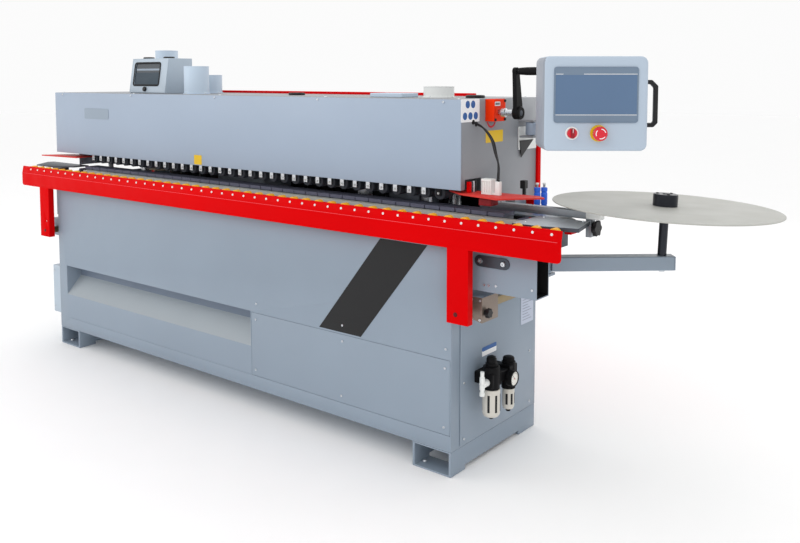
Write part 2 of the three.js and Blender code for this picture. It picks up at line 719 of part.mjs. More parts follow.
// ---------------------------------------------------------------- support rail
function supportRail() {
  const channel = [[-45, 771], [-2, 771], [-2, 861], [-5, 861], [-5, 774], [-42, 774],
    [-42, 832], [-35, 866], [-38, 866], [-45, 832]]
  const front = frontal(roundedOutline(-2586, 409, 771, 900, 14), -60, -34)
  const rest = box(-2580, 385, -34.5, 0, 770, 900)
  const ends = toManifold(front).add(toManifold(rest))
  const folded = toGeometry(toManifold(section(channel, -2586, 409)).intersect(ends))
  const legs = [[-2424, -2344], [12, 92]].map(([x0, x1]) => build(
    [box(x0, x1, -45, -18, 532, 772.5)], [box(x0 + SHEET, x1 - SHEET, -41, -17, 531, 768)]))
  const bars = barTunnels.map((x) => box(
    x - barHalf, x + barHalf, -42, 360, barZ - barHalf, barZ + barHalf))
  const welded = build([folded, ...legs], [hole('y', -2370, -50, 609, 20, 5, 12)])
  return build([welded, ...bars, rod('y', RAIL_FIRST, -40, RAIL_Z, 37, 4, 12)])
}

// Every support roller but the first, held in line by one carrier strip.
function supportRollers() {
  const row = []
  for (let i = 1; i <= RAIL_COUNT; i += 1) {
    row.push(rod('y', RAIL_FIRST - ROLLER_PITCH * i, -33, RAIL_Z, 24, RAIL_RADIUS, 8))
  }
  const last = RAIL_FIRST - ROLLER_PITCH * RAIL_COUNT
  return build([box(last, RAIL_FIRST - ROLLER_PITCH, -23, -19, RAIL_Z - 4, RAIL_Z + 4), ...row])
}

part('support_rail', supportRail(), redPaint)
part('support_rollers', supportRollers(), yellowPlastic)
const endRoller = part('support_roller_infeed',
  bushedRoller(RAIL_RADIUS, 4.6, 24, 24).rotateX(-Math.PI / 2), yellowPlastic)
endRoller.position.set(RAIL_FIRST, -33, RAIL_Z)
part('rail_knob_right', rod('x', 102 + GAP, 40, barZ, 20, 16), blackPlastic)
part('rail_knob_left', rod('x', -2442 - 20 - GAP, 40, barZ, 20, 16), blackPlastic)

// The origin is the middle of the underside of the whole machine.
const group = new THREE.Group()
group.add(machine)
const extent = new THREE.Box3().setFromObject(group, true)
machine.position.set(-(extent.min.x + extent.max.x) / 2, -(extent.min.y + extent.max.y) / 2, -extent.min.z)

export default group
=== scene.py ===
"""Looks of the edge banding machine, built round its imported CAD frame. Metres, +Z up."""

import math

import bmesh
import bpy
from mathutils import Matrix, Vector


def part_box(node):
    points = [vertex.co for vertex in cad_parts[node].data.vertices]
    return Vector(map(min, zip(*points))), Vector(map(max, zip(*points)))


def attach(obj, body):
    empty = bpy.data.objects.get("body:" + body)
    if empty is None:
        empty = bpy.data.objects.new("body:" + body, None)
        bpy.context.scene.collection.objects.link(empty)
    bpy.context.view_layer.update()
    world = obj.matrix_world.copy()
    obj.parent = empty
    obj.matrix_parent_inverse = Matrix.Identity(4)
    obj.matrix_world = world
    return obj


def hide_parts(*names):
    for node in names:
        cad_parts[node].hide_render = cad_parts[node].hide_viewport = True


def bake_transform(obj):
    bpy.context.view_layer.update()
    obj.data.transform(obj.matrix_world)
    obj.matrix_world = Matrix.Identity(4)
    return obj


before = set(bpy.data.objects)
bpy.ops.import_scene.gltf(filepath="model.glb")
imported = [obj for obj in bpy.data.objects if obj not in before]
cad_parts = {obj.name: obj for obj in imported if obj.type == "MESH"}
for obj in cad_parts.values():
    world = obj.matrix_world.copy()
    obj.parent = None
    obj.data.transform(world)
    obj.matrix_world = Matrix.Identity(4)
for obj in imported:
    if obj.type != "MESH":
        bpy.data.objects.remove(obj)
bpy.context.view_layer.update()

X = Vector((1, 0, 0))
Y = Vector((0, 1, 0))
Z = Vector((0, 0, 1))
UPRIGHT = Matrix.Rotation(math.pi / 2, 4, "X")  # stands a flat drawing up, its thickness towards the front

# The machine's own corner: right end of the base, front of the base, the floor.
foot_low, foot_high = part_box("foot_channel_right")
CORNER = Vector((foot_high.x, foot_low.y, 0))


def at(x, y, z):
    """A place measured from the base's front right corner on the floor."""
    return CORNER + Vector((x, y, z))


def middle(node):
    """The middle of a CAD node's box, measured from the same corner."""
    low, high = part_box(node)
    return (low + high) / 2 - CORNER


# ------------------------------------------------------------------ materials
def rgb(code):
    """Linear colour of a hex sRGB code such as 0xRRGGBB."""
    parts = [((code >> shift) & 255) / 255 for shift in (16, 8, 0)]
    linear = [p / 12.92 if p <= 0.04045 else ((p + 0.055) / 1.055) ** 2.4 for p in parts]
    return (*linear, 1)


class Nodes:
    """A short way to write a node tree."""

    def __init__(self, name):
        self.material = bpy.data.materials.new(name)
        self.material.use_nodes = True
        self.tree = self.material.node_tree
        self.shader = self.tree.nodes["Principled BSDF"]

    def add(self, kind, **settings):
        node = self.tree.nodes.new("ShaderNode" + kind)
        for key, value in settings.items():
            if key in node.inputs:
                node.inputs[key].default_value = value
            else:
                setattr(node, key, value)
        return node

    def link(self, out, socket):
        self.tree.links.new(out, socket)

    def place(self, scale=(1, 1, 1)):
        """Object coordinates stretched by scale."""
        where = self.add("TexCoord")
        stretch = self.add("Mapping")
        stretch.inputs["Scale"].default_value = scale
        self.link(where.outputs["Object"], stretch.inputs["Vector"])
        return stretch.outputs["Vector"]

    def noise(self, scale, detail=3, stretch=(1, 1, 1), rough=0.5):
        noise = self.add("TexNoise", Scale=scale, Detail=detail, Roughness=rough)
        self.link(self.place(stretch), noise.inputs["Vector"])
        return noise.outputs["Fac"]

    def ramp(self, fac, stops):
        ramp = self.add("ValToRGB")
        while len(ramp.color_ramp.elements) < len(stops):
            ramp.color_ramp.elements.new(0.5)
        for element, (position, colour) in zip(ramp.color_ramp.elements, stops):
            element.position = position
            element.color = colour
        self.link(fac, ramp.inputs["Fac"])
        return ramp.outputs["Color"]

    def span(self, fac, low, high, start=0.3, end=0.7):
        remap = self.add("MapRange")
        self.link(fac, remap.inputs["Value"])
        for socket, value in (("From Min", start), ("From Max", end), ("To Min", low), ("To Max", high)):
            remap.inputs[socket].default_value = value
        return remap.outputs["Result"]

    def bump(self, fac, strength, distance=0.0004):
        bump = self.add("Bump", Strength=strength, Distance=distance)
        self.link(fac, bump.inputs["Height"])
        self.link(bump.outputs["Normal"], self.shader.inputs["Normal"])


def shade(colour, factor):
    """A colour made darker or lighter by a factor."""
    return tuple(min(1, c * factor) for c in colour[:3]) + (1,)


def surface(name, code, rough, metal=0, grain=500, bump=0.08, mottle=0.06, coat=0, gloss_level=0.3):
    """A finish with slow mottling of colour, uneven gloss and a fine grain."""
    n = Nodes(name)
    colour = rgb(code)
    slow = n.noise(2.3, detail=5)
    n.link(n.ramp(slow, [(0.3, shade(colour, 1 - mottle)), (0.7, shade(colour, 1 + mottle))]),
           n.shader.inputs["Base Color"])
    fine = n.noise(grain, detail=2)
    gloss = n.noise(9, detail=4)
    n.link(n.span(gloss, rough * 0.85, min(1, rough * 1.18)), n.shader.inputs["Roughness"])
    n.shader.inputs["Metallic"].default_value = metal
    n.shader.inputs["Coat Weight"].default_value = coat
    n.shader.inputs["Coat Roughness"].default_value = 0.25
    n.shader.inputs["Specular IOR Level"].default_value = gloss_level
    n.bump(fine, bump)
    return n.material


def metal(name, code, rough, stretch=(1, 40, 1), mottle=0.12, weight=0.9):
    """Metal with fine drawn lines along its length."""
    n = Nodes(name)
    colour = rgb(code)
    lines = n.noise(60, detail=4, stretch=stretch, rough=0.65)
    n.link(n.ramp(lines, [(0.25, shade(colour, 1 - mottle)), (0.75, shade(colour, 1 + mottle))]),
           n.shader.inputs["Base Color"])
    n.link(n.span(lines, rough * 0.8, rough * 1.3), n.shader.inputs["Roughness"])
    n.shader.inputs["Metallic"].default_value = weight
    n.bump(lines, 0.12, 0.0002)
    return n.material


def ribbed(name, code, rough, across, pitch, depth=0.0006, bump=0.5, grain=900):
    """A moulded face with fine ribs running across one direction."""
    n = Nodes(name)
    colour = rgb(code)
    wave = n.add("TexWave", Scale=1 / pitch / 6.2832 * math.pi, Distortion=0.15)
    wave.bands_direction = across
    n.link(n.place(), wave.inputs["Vector"])
    speck = n.noise(grain, detail=2)
    both = n.add("Math", operation="MULTIPLY_ADD")
    n.link(wave.outputs["Fac"], both.inputs[0])
    both.inputs[1].default_value = 0.8
    n.link(speck, both.inputs[2])
    n.link(n.ramp(speck, [(0.3, shade(colour, 0.88)), (0.7, shade(colour, 1.12))]),
           n.shader.inputs["Base Color"])
    n.shader.inputs["Roughness"].default_value = rough
    n.bump(both.outputs["Value"], bump, depth)
    return n.material


def paint(name, code, rough, grain=700, bump=0.10, mottle=0.03, coat=0.15):
    """Powder coat on sheet metal."""
    return surface(name, code, rough, grain=grain, bump=bump, mottle=mottle, coat=coat)


def film(name, code, rough=0.42, mottle=0.03):
    """A printed label film."""
    return surface(name, code, rough, grain=1000, bump=0.04, mottle=mottle)


# Paints
grey_paint = paint("grey paint", 0x8996A4, 0.42, mottle=0.035)
light_paint = paint("light grey paint", 0x99A7B9, 0.38)
head_paint = paint("head paint", 0x8B8E93, 0.42)
# The next two are painted light: the recess's slope is painted lighter and its back band darker, for the
# light and shade that fall in the recess.
slope_painted_highlight = paint("painted highlight on recess slope", 0x9AA2A8, 0.45, coat=0.1)
recess_painted_shade = paint("painted shade on recess back", 0x6E7A8A, 0.5, mottle=0.05, coat=0)
pale_paint = paint("pale paint", 0xAFBCC8, 0.4, grain=650, bump=0.08, coat=0.1)
warm_paint = paint("warm grey paint", 0xA3A3A0, 0.4, grain=650, bump=0.08, coat=0)
port_paint = paint("port paint", 0xC2D2E2, 0.4, bump=0.08)
strip_paint = paint("guide strip", 0xB2B3AB, 0.4, bump=0.06, mottle=0.04, coat=0)
panel_paint = paint("panel front paint", 0xAFBDCC, 0.38)
# Painted shade: a darker grey for the panel case's left side.
panel_left_shade_paint = paint("panel left side painted shade", 0x8C929C, 0.42, coat=0)
red_paint = surface("red paint", 0xD20004, 0.5, grain=800, bump=0.06, mottle=0.04, gloss_level=0.03)
guard_paint = surface("guard red paint", 0xD23A34, 0.45, grain=800, bump=0.06, mottle=0.05, gloss_level=0.15)
dark_red = surface("dark red paint", 0x8E1820, 0.45, grain=800, bump=0.08, mottle=0.06)
# A painted highlight: a lighter red for the light caught along the rail's fold.
rail_fold_highlight_paint = surface("rail fold painted highlight", 0xE8505A, 0.4, grain=900, bump=0.03, mottle=0.05)
black_beam = surface("black beam paint", 0x1A1B1E, 0.5, grain=700, bump=0.12, mottle=0.1)
badge_paint = surface("badge", 0x8D9AA8, 0.3, grain=900, bump=0.05, mottle=0.05, coat=0.2)
floor_paint = surface("floor", 0xFFFFFF, 0.7, grain=60, bump=0.02, mottle=0.005)

# Metals
steel = metal("ground steel", 0xB9BEC4, 0.3)
bright = metal("bright zinc", 0xD3D7DB, 0.25, stretch=(8, 8, 8), mottle=0.08)
dark_steel = metal("blackened steel", 0x4B5058, 0.42, stretch=(1, 24, 24), weight=0.75)
table_steel = metal("worn table steel", 0x8B9197, 0.34, stretch=(1, 26, 26), mottle=0.16, weight=0.7)
# Painted highlight: a lighter, less metallic steel for the light caught on upward faces.
top_highlight_steel = metal("table top painted highlight", 0xAEB4BA, 0.5, stretch=(1, 26, 26), mottle=0.14, weight=0.25)
bronze_zinc = metal("yellow zinc bar", 0x8E7E5E, 0.4, stretch=(24, 1, 24), mottle=0.18)
cast_zinc = metal("zinc plated bracket", 0x86796F, 0.42, stretch=(6, 6, 6), mottle=0.18, weight=0.6)
cast_metal = surface("cast metal", 0x6E747B, 0.55, metal=0.6, grain=260, bump=0.35, mottle=0.1)
post_black = surface("blued steel", 0x23262E, 0.32, metal=0.5, grain=900, bump=0.06, mottle=0.1,
                     gloss_level=0.5)
dark_red_steel = surface("bolt head in paint", 0x5A0A10, 0.5, metal=0.2, grain=700, bump=0.1, mottle=0.1)

# Plastics, rubber, board and cloth
black_plastic = surface("black plastic", 0x1C1B1D, 0.42, grain=1500, bump=0.22, mottle=0.12)
crank_black = surface("crank black", 0x0D0D0F, 0.5, grain=1500, bump=0.15, mottle=0.12, gloss_level=0.12)
black_rubber = surface("black rubber", 0x18181A, 0.7, grain=900, bump=0.3, mottle=0.12)
# Painted shade: near-black for the shade in gaps and behind parts.
painted_shade_dark = surface("painted shade inside", 0x0C0D0F, 0.8, grain=300, bump=0.1, mottle=0.2)
pad_rubber = ribbed("pad rubber", 0x5F6174, 0.62, "X", 0.0042)
roller_yellow = surface("yellow roller plastic", 0xF4AE17, 0.38, grain=1100, bump=0.12, mottle=0.07, coat=0.2)
roller_dark = surface("roller rubber", 0x3A3E45, 0.55, grain=1000, bump=0.3, mottle=0.1)
blue_plastic = surface("blue roller plastic", 0x2E6BE6, 0.3, grain=1100, bump=0.06, mottle=0.07, coat=0.3)
white_plastic = surface("white plastic", 0xE6E8E6, 0.38, grain=1000, bump=0.1, mottle=0.03, coat=0.1)
orange_plastic = surface("orange plastic", 0xF03406, 0.42, grain=1000, bump=0.08, mottle=0.05,
                         gloss_level=0.1)
red_plastic = surface("red button plastic", 0xD3122A, 0.26, grain=1200, bump=0.05, mottle=0.05, coat=0.4)
bowl_guard = surface("bowl guard", 0xCFCBC2, 0.3, grain=900, bump=0.08, mottle=0.04, coat=0.3)
disc_board = surface("disc board", 0xB0B0AA, 0.5, grain=420, bump=0.12, mottle=0.03)
cloth = ribbed("stitched cloth", 0xD8D0BA, 0.95, "Z", 0.006, depth=0.0012, bump=0.7, grain=300)

# Films, dials and glass
black_paint = surface("black decal film", 0x141416, 0.35, grain=1200, bump=0.04, mottle=0.1)
yellow_plastic = surface("yellow film", 0xE0B818, 0.35, grain=1000, bump=0.05, mottle=0.05)
blue_film = film("blue label film", 0x2F5F9E, 0.4, mottle=0.06)
white_film = film("white label film", 0xF2F3F5, mottle=0.02)
pale_film = film("pale label film", 0xB9C1D2)
grey_film = film("grey print", 0x8890A4)
red_film = film("red film", 0xC2202C, 0.4, mottle=0.05)
gauge_white = surface("dial white", 0xE9E7E0, 0.4, grain=1200, bump=0.04, mottle=0.03)
window_glass = surface("smoked window", 0x1E2A34, 0.12, grain=200, bump=0.02, mottle=0.12)
slate = surface("slate grey panel", 0x3A4853, 0.6, grain=500, bump=0.08, mottle=0.15)
bezel_grey = surface("bezel grey", 0x6E7F92, 0.25, grain=1300, bump=0.05, mottle=0.04, coat=0.3)
display_glass = surface("display glass", 0x4F6B8C, 0.08, grain=30, bump=0.01, mottle=0.05, coat=0.8)


# ------------------------------------------------------------------ shapes
WELD = 1e-6  # corners closer than this become one


def mesh_data(name, bm, material, smooth_angle):
    """Turns a bmesh into mesh data of one finish, smooth up to an angle in degrees."""
    mesh = bpy.data.meshes.new(name)
    bm.to_mesh(mesh)
    bm.free()
    for polygon in mesh.polygons:
        polygon.use_smooth = True
    mesh.set_sharp_from_angle(angle=math.radians(smooth_angle))
    mesh.materials.append(material)
    return mesh


def put(name, data):
    """Puts a mesh, a light or a camera into the scene."""
    piece = bpy.data.objects.new(name, data)
    bpy.context.scene.collection.objects.link(piece)
    return piece


def finish_mesh(name, bm, body, material, bevel=0.0, segments=2, smooth_angle=35):
    """Turns a bmesh into a named piece that rides on a body."""
    bmesh.ops.remove_doubles(bm, verts=bm.verts, dist=WELD)
    bmesh.ops.recalc_face_normals(bm, faces=bm.faces)
    piece = put(name, mesh_data(name, bm, material, smooth_angle))
    if bevel:
        soften(piece, bevel, segments)
    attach(piece, body)
    return piece


def soften(piece, width, segments=2):
    """Rounds the sharp edges of a piece."""
    bevel = piece.modifiers.new("edge", "BEVEL")
    bevel.width = width
    bevel.segments = segments
    bevel.limit_method = "ANGLE"
    bevel.angle_limit = math.radians(35)
    bevel.harden_normals = True


def add_box(bm, low, high, turn=None):
    """Adds a box to a bmesh; turn is a matrix applied to it."""
    centre = (Vector(low) + Vector(high)) / 2
    size = Vector(high) - Vector(low)
    matrix = Matrix.Translation(centre) @ Matrix.Diagonal((*size, 1))
    if turn is not None:
        matrix = turn @ matrix
    bmesh.ops.create_cube(bm, size=1, matrix=matrix)


def basis(axis, origin):
    """A matrix whose Z runs along axis at origin."""
    turn = Vector(axis).to_track_quat("Z", "Y").to_matrix().to_4x4()
    return Matrix.Translation(origin) @ turn


def add_lathe(bm, profile, matrix, steps):
    """Adds a turned shape: the profile holds (radius, height) pairs from one end to the other."""
    rings = []
    for radius, height in profile:
        if radius < WELD:
            rings.append([bm.verts.new(matrix @ Vector((0, 0, height)))])
            continue
        ring = []
        for i in range(steps):
            angle = 2 * math.pi * i / steps
            ring.append(bm.verts.new(
                matrix @ Vector((radius * math.cos(angle), radius * math.sin(angle), height))))
        rings.append(ring)
    for lower, upper in zip(rings, rings[1:]):
        for i in range(steps):
            j = (i + 1) % steps
            corners = [lower[i % len(lower)], lower[j % len(lower)],
                       upper[j % len(upper)], upper[i % len(upper)]]
            unique = list(dict.fromkeys(corners))
            if len(unique) > 2:
                bm.faces.new(unique)


def solid(*outline):
    """A turned outline of (radius, height) pairs, closed at the axis at both ends."""
    return [(0, outline[0][1]), *outline, (0, outline[-1][1])]


def turned(name, origin, axis, profile, body, material, steps=48, bevel=0.0):
    """A turned piece that stands on origin along axis."""
    bm = bmesh.new()
    add_lathe(bm, profile, basis(axis, origin), steps)
    return finish_mesh(name, bm, body, material, bevel, smooth_angle=30)


def join_rings(bm, lower, upper):
    """Adds the walls between two rings with the same number of corners."""
    for i in range(len(lower)):
        j = (i + 1) % len(lower)
        bm.faces.new([lower[i], lower[j], upper[j], upper[i]])


def add_prism(bm, points, depth, matrix):
    """Adds a flat outline of (u, v) points, depth thick along the matrix's Z."""
    lower = [bm.verts.new(matrix @ Vector((u, v, 0))) for u, v in points]
    upper = [bm.verts.new(matrix @ Vector((u, v, depth))) for u, v in points]
    bm.faces.new(lower)
    bm.faces.new(upper)
    join_rings(bm, lower, upper)


def prism(name, points, depth, matrix, body, material, bevel=0.001):
    """A flat outline given a thickness, as one piece."""
    bm = bmesh.new()
    add_prism(bm, points, depth, matrix)
    return finish_mesh(name, bm, body, material, bevel)


def rounded(width, height, radius, steps=6):
    """The corners of a rounded rectangle about its middle."""
    points = []
    for cx, cy, start in ((1, -1, -90), (1, 1, 0), (-1, 1, 90), (-1, -1, 180)):
        for i in range(steps + 1):
            angle = math.radians(start + 90 * i / steps)
            points.append((cx * (width / 2 - radius) + radius * math.cos(angle),
                           cy * (height / 2 - radius) + radius * math.sin(angle)))
    return points


def facing(origin, normal):
    """A matrix with Z along normal, Y as near to upright as it can be, at origin."""
    z = Vector(normal).normalized()
    x = Z.cross(z).normalized()
    y = z.cross(x)
    return Matrix.Translation(origin) @ Matrix((x, y, z)).transposed().to_4x4()


def lobed(middle_radius, wave, lobes, count):
    """An outline of count corners whose radius swings by wave, lobes times round."""
    points = []
    for i in range(count):
        angle = 2 * math.pi * i / count
        radius = middle_radius + wave * math.cos(lobes * angle)
        points.append((radius * math.cos(angle), radius * math.sin(angle)))
    return points


def arc_band(outer, inner, start, sweep, steps):
    """The outline of a flat band along an arc, between two radii; angles in degrees."""
    angles = [math.radians(start + sweep * i / steps) for i in range(steps + 1)]
    return ([(outer * math.cos(a), outer * math.sin(a)) for a in angles]
            + [(inner * math.cos(a), inner * math.sin(a)) for a in reversed(angles)])


def rim(name, outer, inner, depth, matrix, body, material, bevel=0.0005):
    """A flat ring between two outlines with the same number of corners."""
    bm = bmesh.new()
    rings = []
    for height in (0, depth):
        for outline in (outer, inner):
            rings.append([bm.verts.new(matrix @ Vector((u, v, height))) for u, v in outline])
    lower_out, lower_in, upper_out, upper_in = rings
    for a, b in ((lower_out, upper_out), (upper_out, upper_in), (upper_in, lower_in), (lower_in, lower_out)):
        join_rings(bm, a, b)
    return finish_mesh(name, bm, body, material, bevel)


def shell(name, width, height, depth, radius, edge, matrix, body, material):
    """A moulded case: rounded corners, softened front and rear."""
    bm = bmesh.new()
    layers = []
    steps = 5
    for i in range(steps + 1):
        angle = math.pi / 2 * i / steps
        layers.append((edge * (1 - math.sin(angle)), edge * (1 - math.cos(angle))))
    layers += [(inset, depth - z) for inset, z in reversed(layers)]
    rings = []
    for inset, z in layers:
        outline = rounded(width - 2 * inset, height - 2 * inset, max(radius - inset, 0.002), 8)
        rings.append([bm.verts.new(matrix @ Vector((u, v, -z))) for u, v in outline])
    for lower, upper in zip(rings, rings[1:]):
        join_rings(bm, lower, upper)
    bm.faces.new(rings[0])
    bm.faces.new(rings[-1])
    return finish_mesh(name, bm, body, material, smooth_angle=40)


def smooth_path(points, steps):
    """Points on a Catmull-Rom curve through the given ones."""
    padded = [points[0] * 2 - points[1], *points, points[-1] * 2 - points[-2]]
    path = []
    for i in range(1, len(padded) - 2):
        a, b, c, d = padded[i - 1:i + 3]
        for k in range(steps):
            t = k / steps
            path.append(0.5 * ((2 * b) + (c - a) * t + (2 * a - 5 * b + 4 * c - d) * t * t
                               + (3 * b - a - 3 * c + d) * t ** 3))
    path.append(points[-1])
    return path


def tube_mesh(name, path, radius, material):
    """A closed round tube along a path, at the world's origin."""
    sides = 14
    bm = bmesh.new()
    rings = []
    side = (path[1] - path[0]).cross(Z).normalized()
    for i, point in enumerate(path):
        ahead = (path[min(i + 1, len(path) - 1)] - path[max(i - 1, 0)]).normalized()
        side = (side - ahead * side.dot(ahead)).normalized()
        up = ahead.cross(side)
        rings.append([bm.verts.new(point + radius * (side * math.cos(a) + up * math.sin(a)))
                      for a in (2 * math.pi * k / sides for k in range(sides))])
    for lower, upper in zip(rings, rings[1:]):
        join_rings(bm, lower, upper)
    bm.faces.new(rings[0])
    bm.faces.new(rings[-1])
    bmesh.ops.recalc_face_normals(bm, faces=bm.faces)
    return put(name, mesh_data(name, bm, material, smooth_angle=60))


def sticker(name, centre, normal, width, height, body, material, radius=0.003, lift=0.0003):
    """A thin film on a face."""
    return prism(name, rounded(width, height, radius, 3), 0.0005,
                 facing(centre + Vector(normal) * lift, normal), body, material, bevel=0)


def screw_mesh(name, head, height, socket, material):
    """A button head with a hexagon socket, its seat at height zero."""
    bm = bmesh.new()
    add_lathe(bm, [(head, 0), (head, height * 0.45), (head * 0.82, height), (socket, height)],
              Matrix.Identity(4), 20)
    add_lathe(bm, [(socket, height), (socket * 0.96, height * 0.35), (0, height * 0.3)],
              Matrix.Identity(4), 20)
    bmesh.ops.remove_doubles(bm, verts=bm.verts, dist=WELD)
    return mesh_data(name, bm, material, smooth_angle=30)


screw_small = screw_mesh("small screw", 0.0045, 0.0028, 0.002, bright)
screw_large = screw_mesh("large screw", 0.0085, 0.006, 0.004, bright)
screw_black = screw_mesh("black screw", 0.005, 0.004, 0.0025, black_plastic)
screw_axle = screw_mesh("axle head", 0.0042, 0.0024, 0.0018, white_plastic)


def dress(node, material, bevel):
    """Gives a CAD node its finish and soft edges; its shape and place stay."""
    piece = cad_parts[node]
    piece.data.materials.clear()
    piece.data.materials.append(material)
    for polygon in piece.data.polygons:
        polygon.use_smooth = True
    weld = piece.modifiers.new("weld", "WELD")
    weld.merge_threshold = 0.00002
    flat = piece.modifiers.new("flat", "DECIMATE")
    flat.decimate_type = "DISSOLVE"
    flat.angle_limit = math.radians(0.5)
    soften(piece, bevel)


def paint_faces(node, material, low, high):
    """Gives the faces of a CAD node that lie inside a box a second finish."""
    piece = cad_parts[node]
    piece.data.materials.append(material)
    slot = len(piece.data.materials) - 1
    for polygon in piece.data.polygons:
        corners = [piece.data.vertices[v].co for v in polygon.vertices]
        if all(low[i] <= corner[i] <= high[i] for corner in corners for i in range(3)):
            polygon.material_index = slot


def paint_facing(node, material, normal):
    """Gives the faces of a CAD node that look along a direction a second finish."""
    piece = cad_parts[node]
    piece.data.materials.append(material)
    slot = len(piece.data.materials) - 1
    for polygon in piece.data.polygons:
        if polygon.normal.dot(normal) > 0.7:
            polygon.material_index = slot


def screws(name, places, normal, body, head=screw_small):
    """A set of screw heads on one face, as one piece."""
    bm = bmesh.new()
    for place in places:
        part = bmesh.new()
        part.from_mesh(head)
        part.transform(basis(normal, place))
        joined = bpy.data.meshes.new("part")
        part.to_mesh(joined)
        part.free()
        bm.from_mesh(joined)
        bpy.data.meshes.remove(joined)
    finish_mesh(name, bm, body, head.materials[0], smooth_angle=30)


def roller_profile(radius, width):
    """A roller's outline from one end to the other, about its middle."""
    hub, edge, dish = 0.006, 0.0012, 0.0012
    half = width / 2
    return solid((hub, dish - half), (hub + 0.0006, -half), (radius - edge, -half),
                 (radius - edge * 0.3, edge * 0.3 - half), (radius, edge - half), (radius, half - edge),
                 (radius - edge * 0.3, half - edge * 0.3), (radius - edge, half), (hub + 0.0006, half),
                 (hub, half - dish))


def roller_row(name, centres, radius, width, body, material):
    """A row of rollers whose axles run front to rear."""
    bm = bmesh.new()
    for centre in centres:
        add_lathe(bm, roller_profile(radius, width), basis(Y, centre), 28)
    return finish_mesh(name, bm, body, material, smooth_angle=30)


def boxes(name, corners, body, material, bevel=0.001, turn=None):
    """Several blocks as one piece; corners holds (low, high) pairs."""
    bm = bmesh.new()
    for low, high in corners:
        add_box(bm, low, high, turn)
    return finish_mesh(name, bm, body, material, bevel)


def star_knob(name, origin, axis, body, node, radius=0.016, height=0.02):
    """A lobed clamping knob."""
    bm = bmesh.new()
    add_prism(bm, lobed(radius * 0.9, radius * 0.1, 6, 48), height * 0.7,
              basis(axis, origin) @ Matrix.Translation((0, 0, height * 0.3)))
    add_lathe(bm, [(0, 0), (radius * 0.62, 0), (radius * 0.62, height * 0.4), (0, height * 0.4)],
              basis(axis, origin), 32)
    piece = finish_mesh(name, bm, body, black_plastic, 0.0014)
    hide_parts(node)


# ------------------------------------------------------------------ base
BASE = "base"
FRONT = -Y


def base_cabinet():
    """The cabinet, its feet and panels, and the screws that hold them."""
    dress("base_cabinet", grey_paint, 0.002)
    # Painted light and shade in the front recess: the slope lighter, the back band darker than the cabinet's
    # grey.
    paint_faces("base_cabinet", slope_painted_highlight, at(-2.28, -0.002, 0.25), at(-0.95, 0.076, 0.336))
    paint_faces("base_cabinet", recess_painted_shade, at(-2.28, 0.074, 0.334), at(-0.95, 0.076, 0.395))
    for node in ("foot_channel_left", "foot_channel_right"):
        dress(node, grey_paint, 0.003)
    for node in ("front_service_panel", "end_service_panel", "rear_service_panel"):
        dress(node, grey_paint, 0.0012)
    dress("socket_box", pale_paint, 0.003)
    dress("control_cabinet", warm_paint, 0.003)
    dress("table_beam", grey_paint, 0.003)
    dress("rear_frame", red_paint, 0.003)
    front = [(-0.921, 0.428), (-0.925, 0.365), (-0.928, 0.164), (-0.471, 0.424), (-0.471, 0.366),
             (-0.477, 0.165), (-0.021, 0.427), (-0.024, 0.363), (-0.028, 0.165)]
    screws("front_panel_screws", [at(x, 0, z) for x, z in front], FRONT, BASE)
    end = [(0.07, 0.11), (0.50, 0.11), (0.07, 0.30), (0.50, 0.30), (0.07, 0.50), (0.50, 0.50)]
    screws("end_panel_screws", [at(0.0033, y, z) for y, z in end], X, BASE)
    rear = [(x, z) for x in (-2.19, -1.7, -1.2, -0.7, -0.21) for z in (0.13, 0.555)]
    screws("rear_panel_screws", [at(x, 0.5533, z) for x, z in rear], Y, BASE)
    feet = [(x, y) for x in (-0.135, -0.025, -2.315, -2.205) for y in (0.04, 0.51)]
    screws("foot_bolts", [at(x, y, 0.006) for x, y in feet], Z, BASE, screw_large)


def band_of_film():
    """A plain dark band that slants across the front of the base."""
    top, bottom, width = 0.758, 0.398, 0.200
    left_below, left_above = -0.585, -0.296
    points = [(left_below, bottom), (left_below + width, bottom),
              (left_above + width, top), (left_above, top)]
    face = Matrix.Translation(at(0, -0.0002, 0)) @ UPRIGHT
    prism("front_band", points, 0.0004, face, BASE, black_paint, bevel=0)


def service_labels():
    """Blank labels on the infeed end of the base."""
    sticker("end_label_blue", at(0.0035, 0.2235, 0.3835), X, 0.091, 0.014, BASE, blue_film)
    sticker("end_label_white", at(0.0035, 0.2235, 0.373), X, 0.091, 0.026, BASE, white_film, lift=0.0001)
    sticker("end_label_tall", at(0.0035, 0.48, 0.462), X, 0.089, 0.104, BASE, pale_film)
    rows = []
    for i in range(8):
        z = 0.424 + 0.0105 * i
        rows.append((at(0.0039, 0.447, z), at(0.0045, 0.51 - 0.012 * (i % 3), z + 0.0025)))
    boxes("end_label_rows", rows, BASE, grey_film, 0)


def rear_louvres():
    """Pressed air slots low on the rear panel."""
    slots = []
    for x0 in (-2.05, -0.62):
        for i in range(8):
            z = 0.2 + 0.022 * i
            slots.append((at(x0, 0.5526, z), at(x0 + 0.26, 0.5575, z + 0.006)))
    boxes("rear_louvres", slots, BASE, grey_paint, 0.0018)


def socket_details():
    """The cover of the socket box and its four screws."""
    low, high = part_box("socket_box")
    x, _, z = (low + high) / 2
    sticker("socket_cover", Vector((x, low.y, z)), FRONT, 0.12, 0.2, BASE, pale_paint, radius=0.008)
    places = [Vector((x + i * 0.05, low.y - 0.0005, z + j * 0.09)) for i in (-1, 1) for j in (-1, 1)]
    screws("socket_screws", places, FRONT, BASE)


# ------------------------------------------------------------------ table and chain
CHAIN_LEFT, CHAIN_Z = middle("drive_sprocket").xz
CHAIN_RIGHT = middle("idler_sprocket").x
PAD_COUNT = 38
PAD_TOP = 0.870
PAD_FRONT, PAD_REAR = 0.115, 0.185


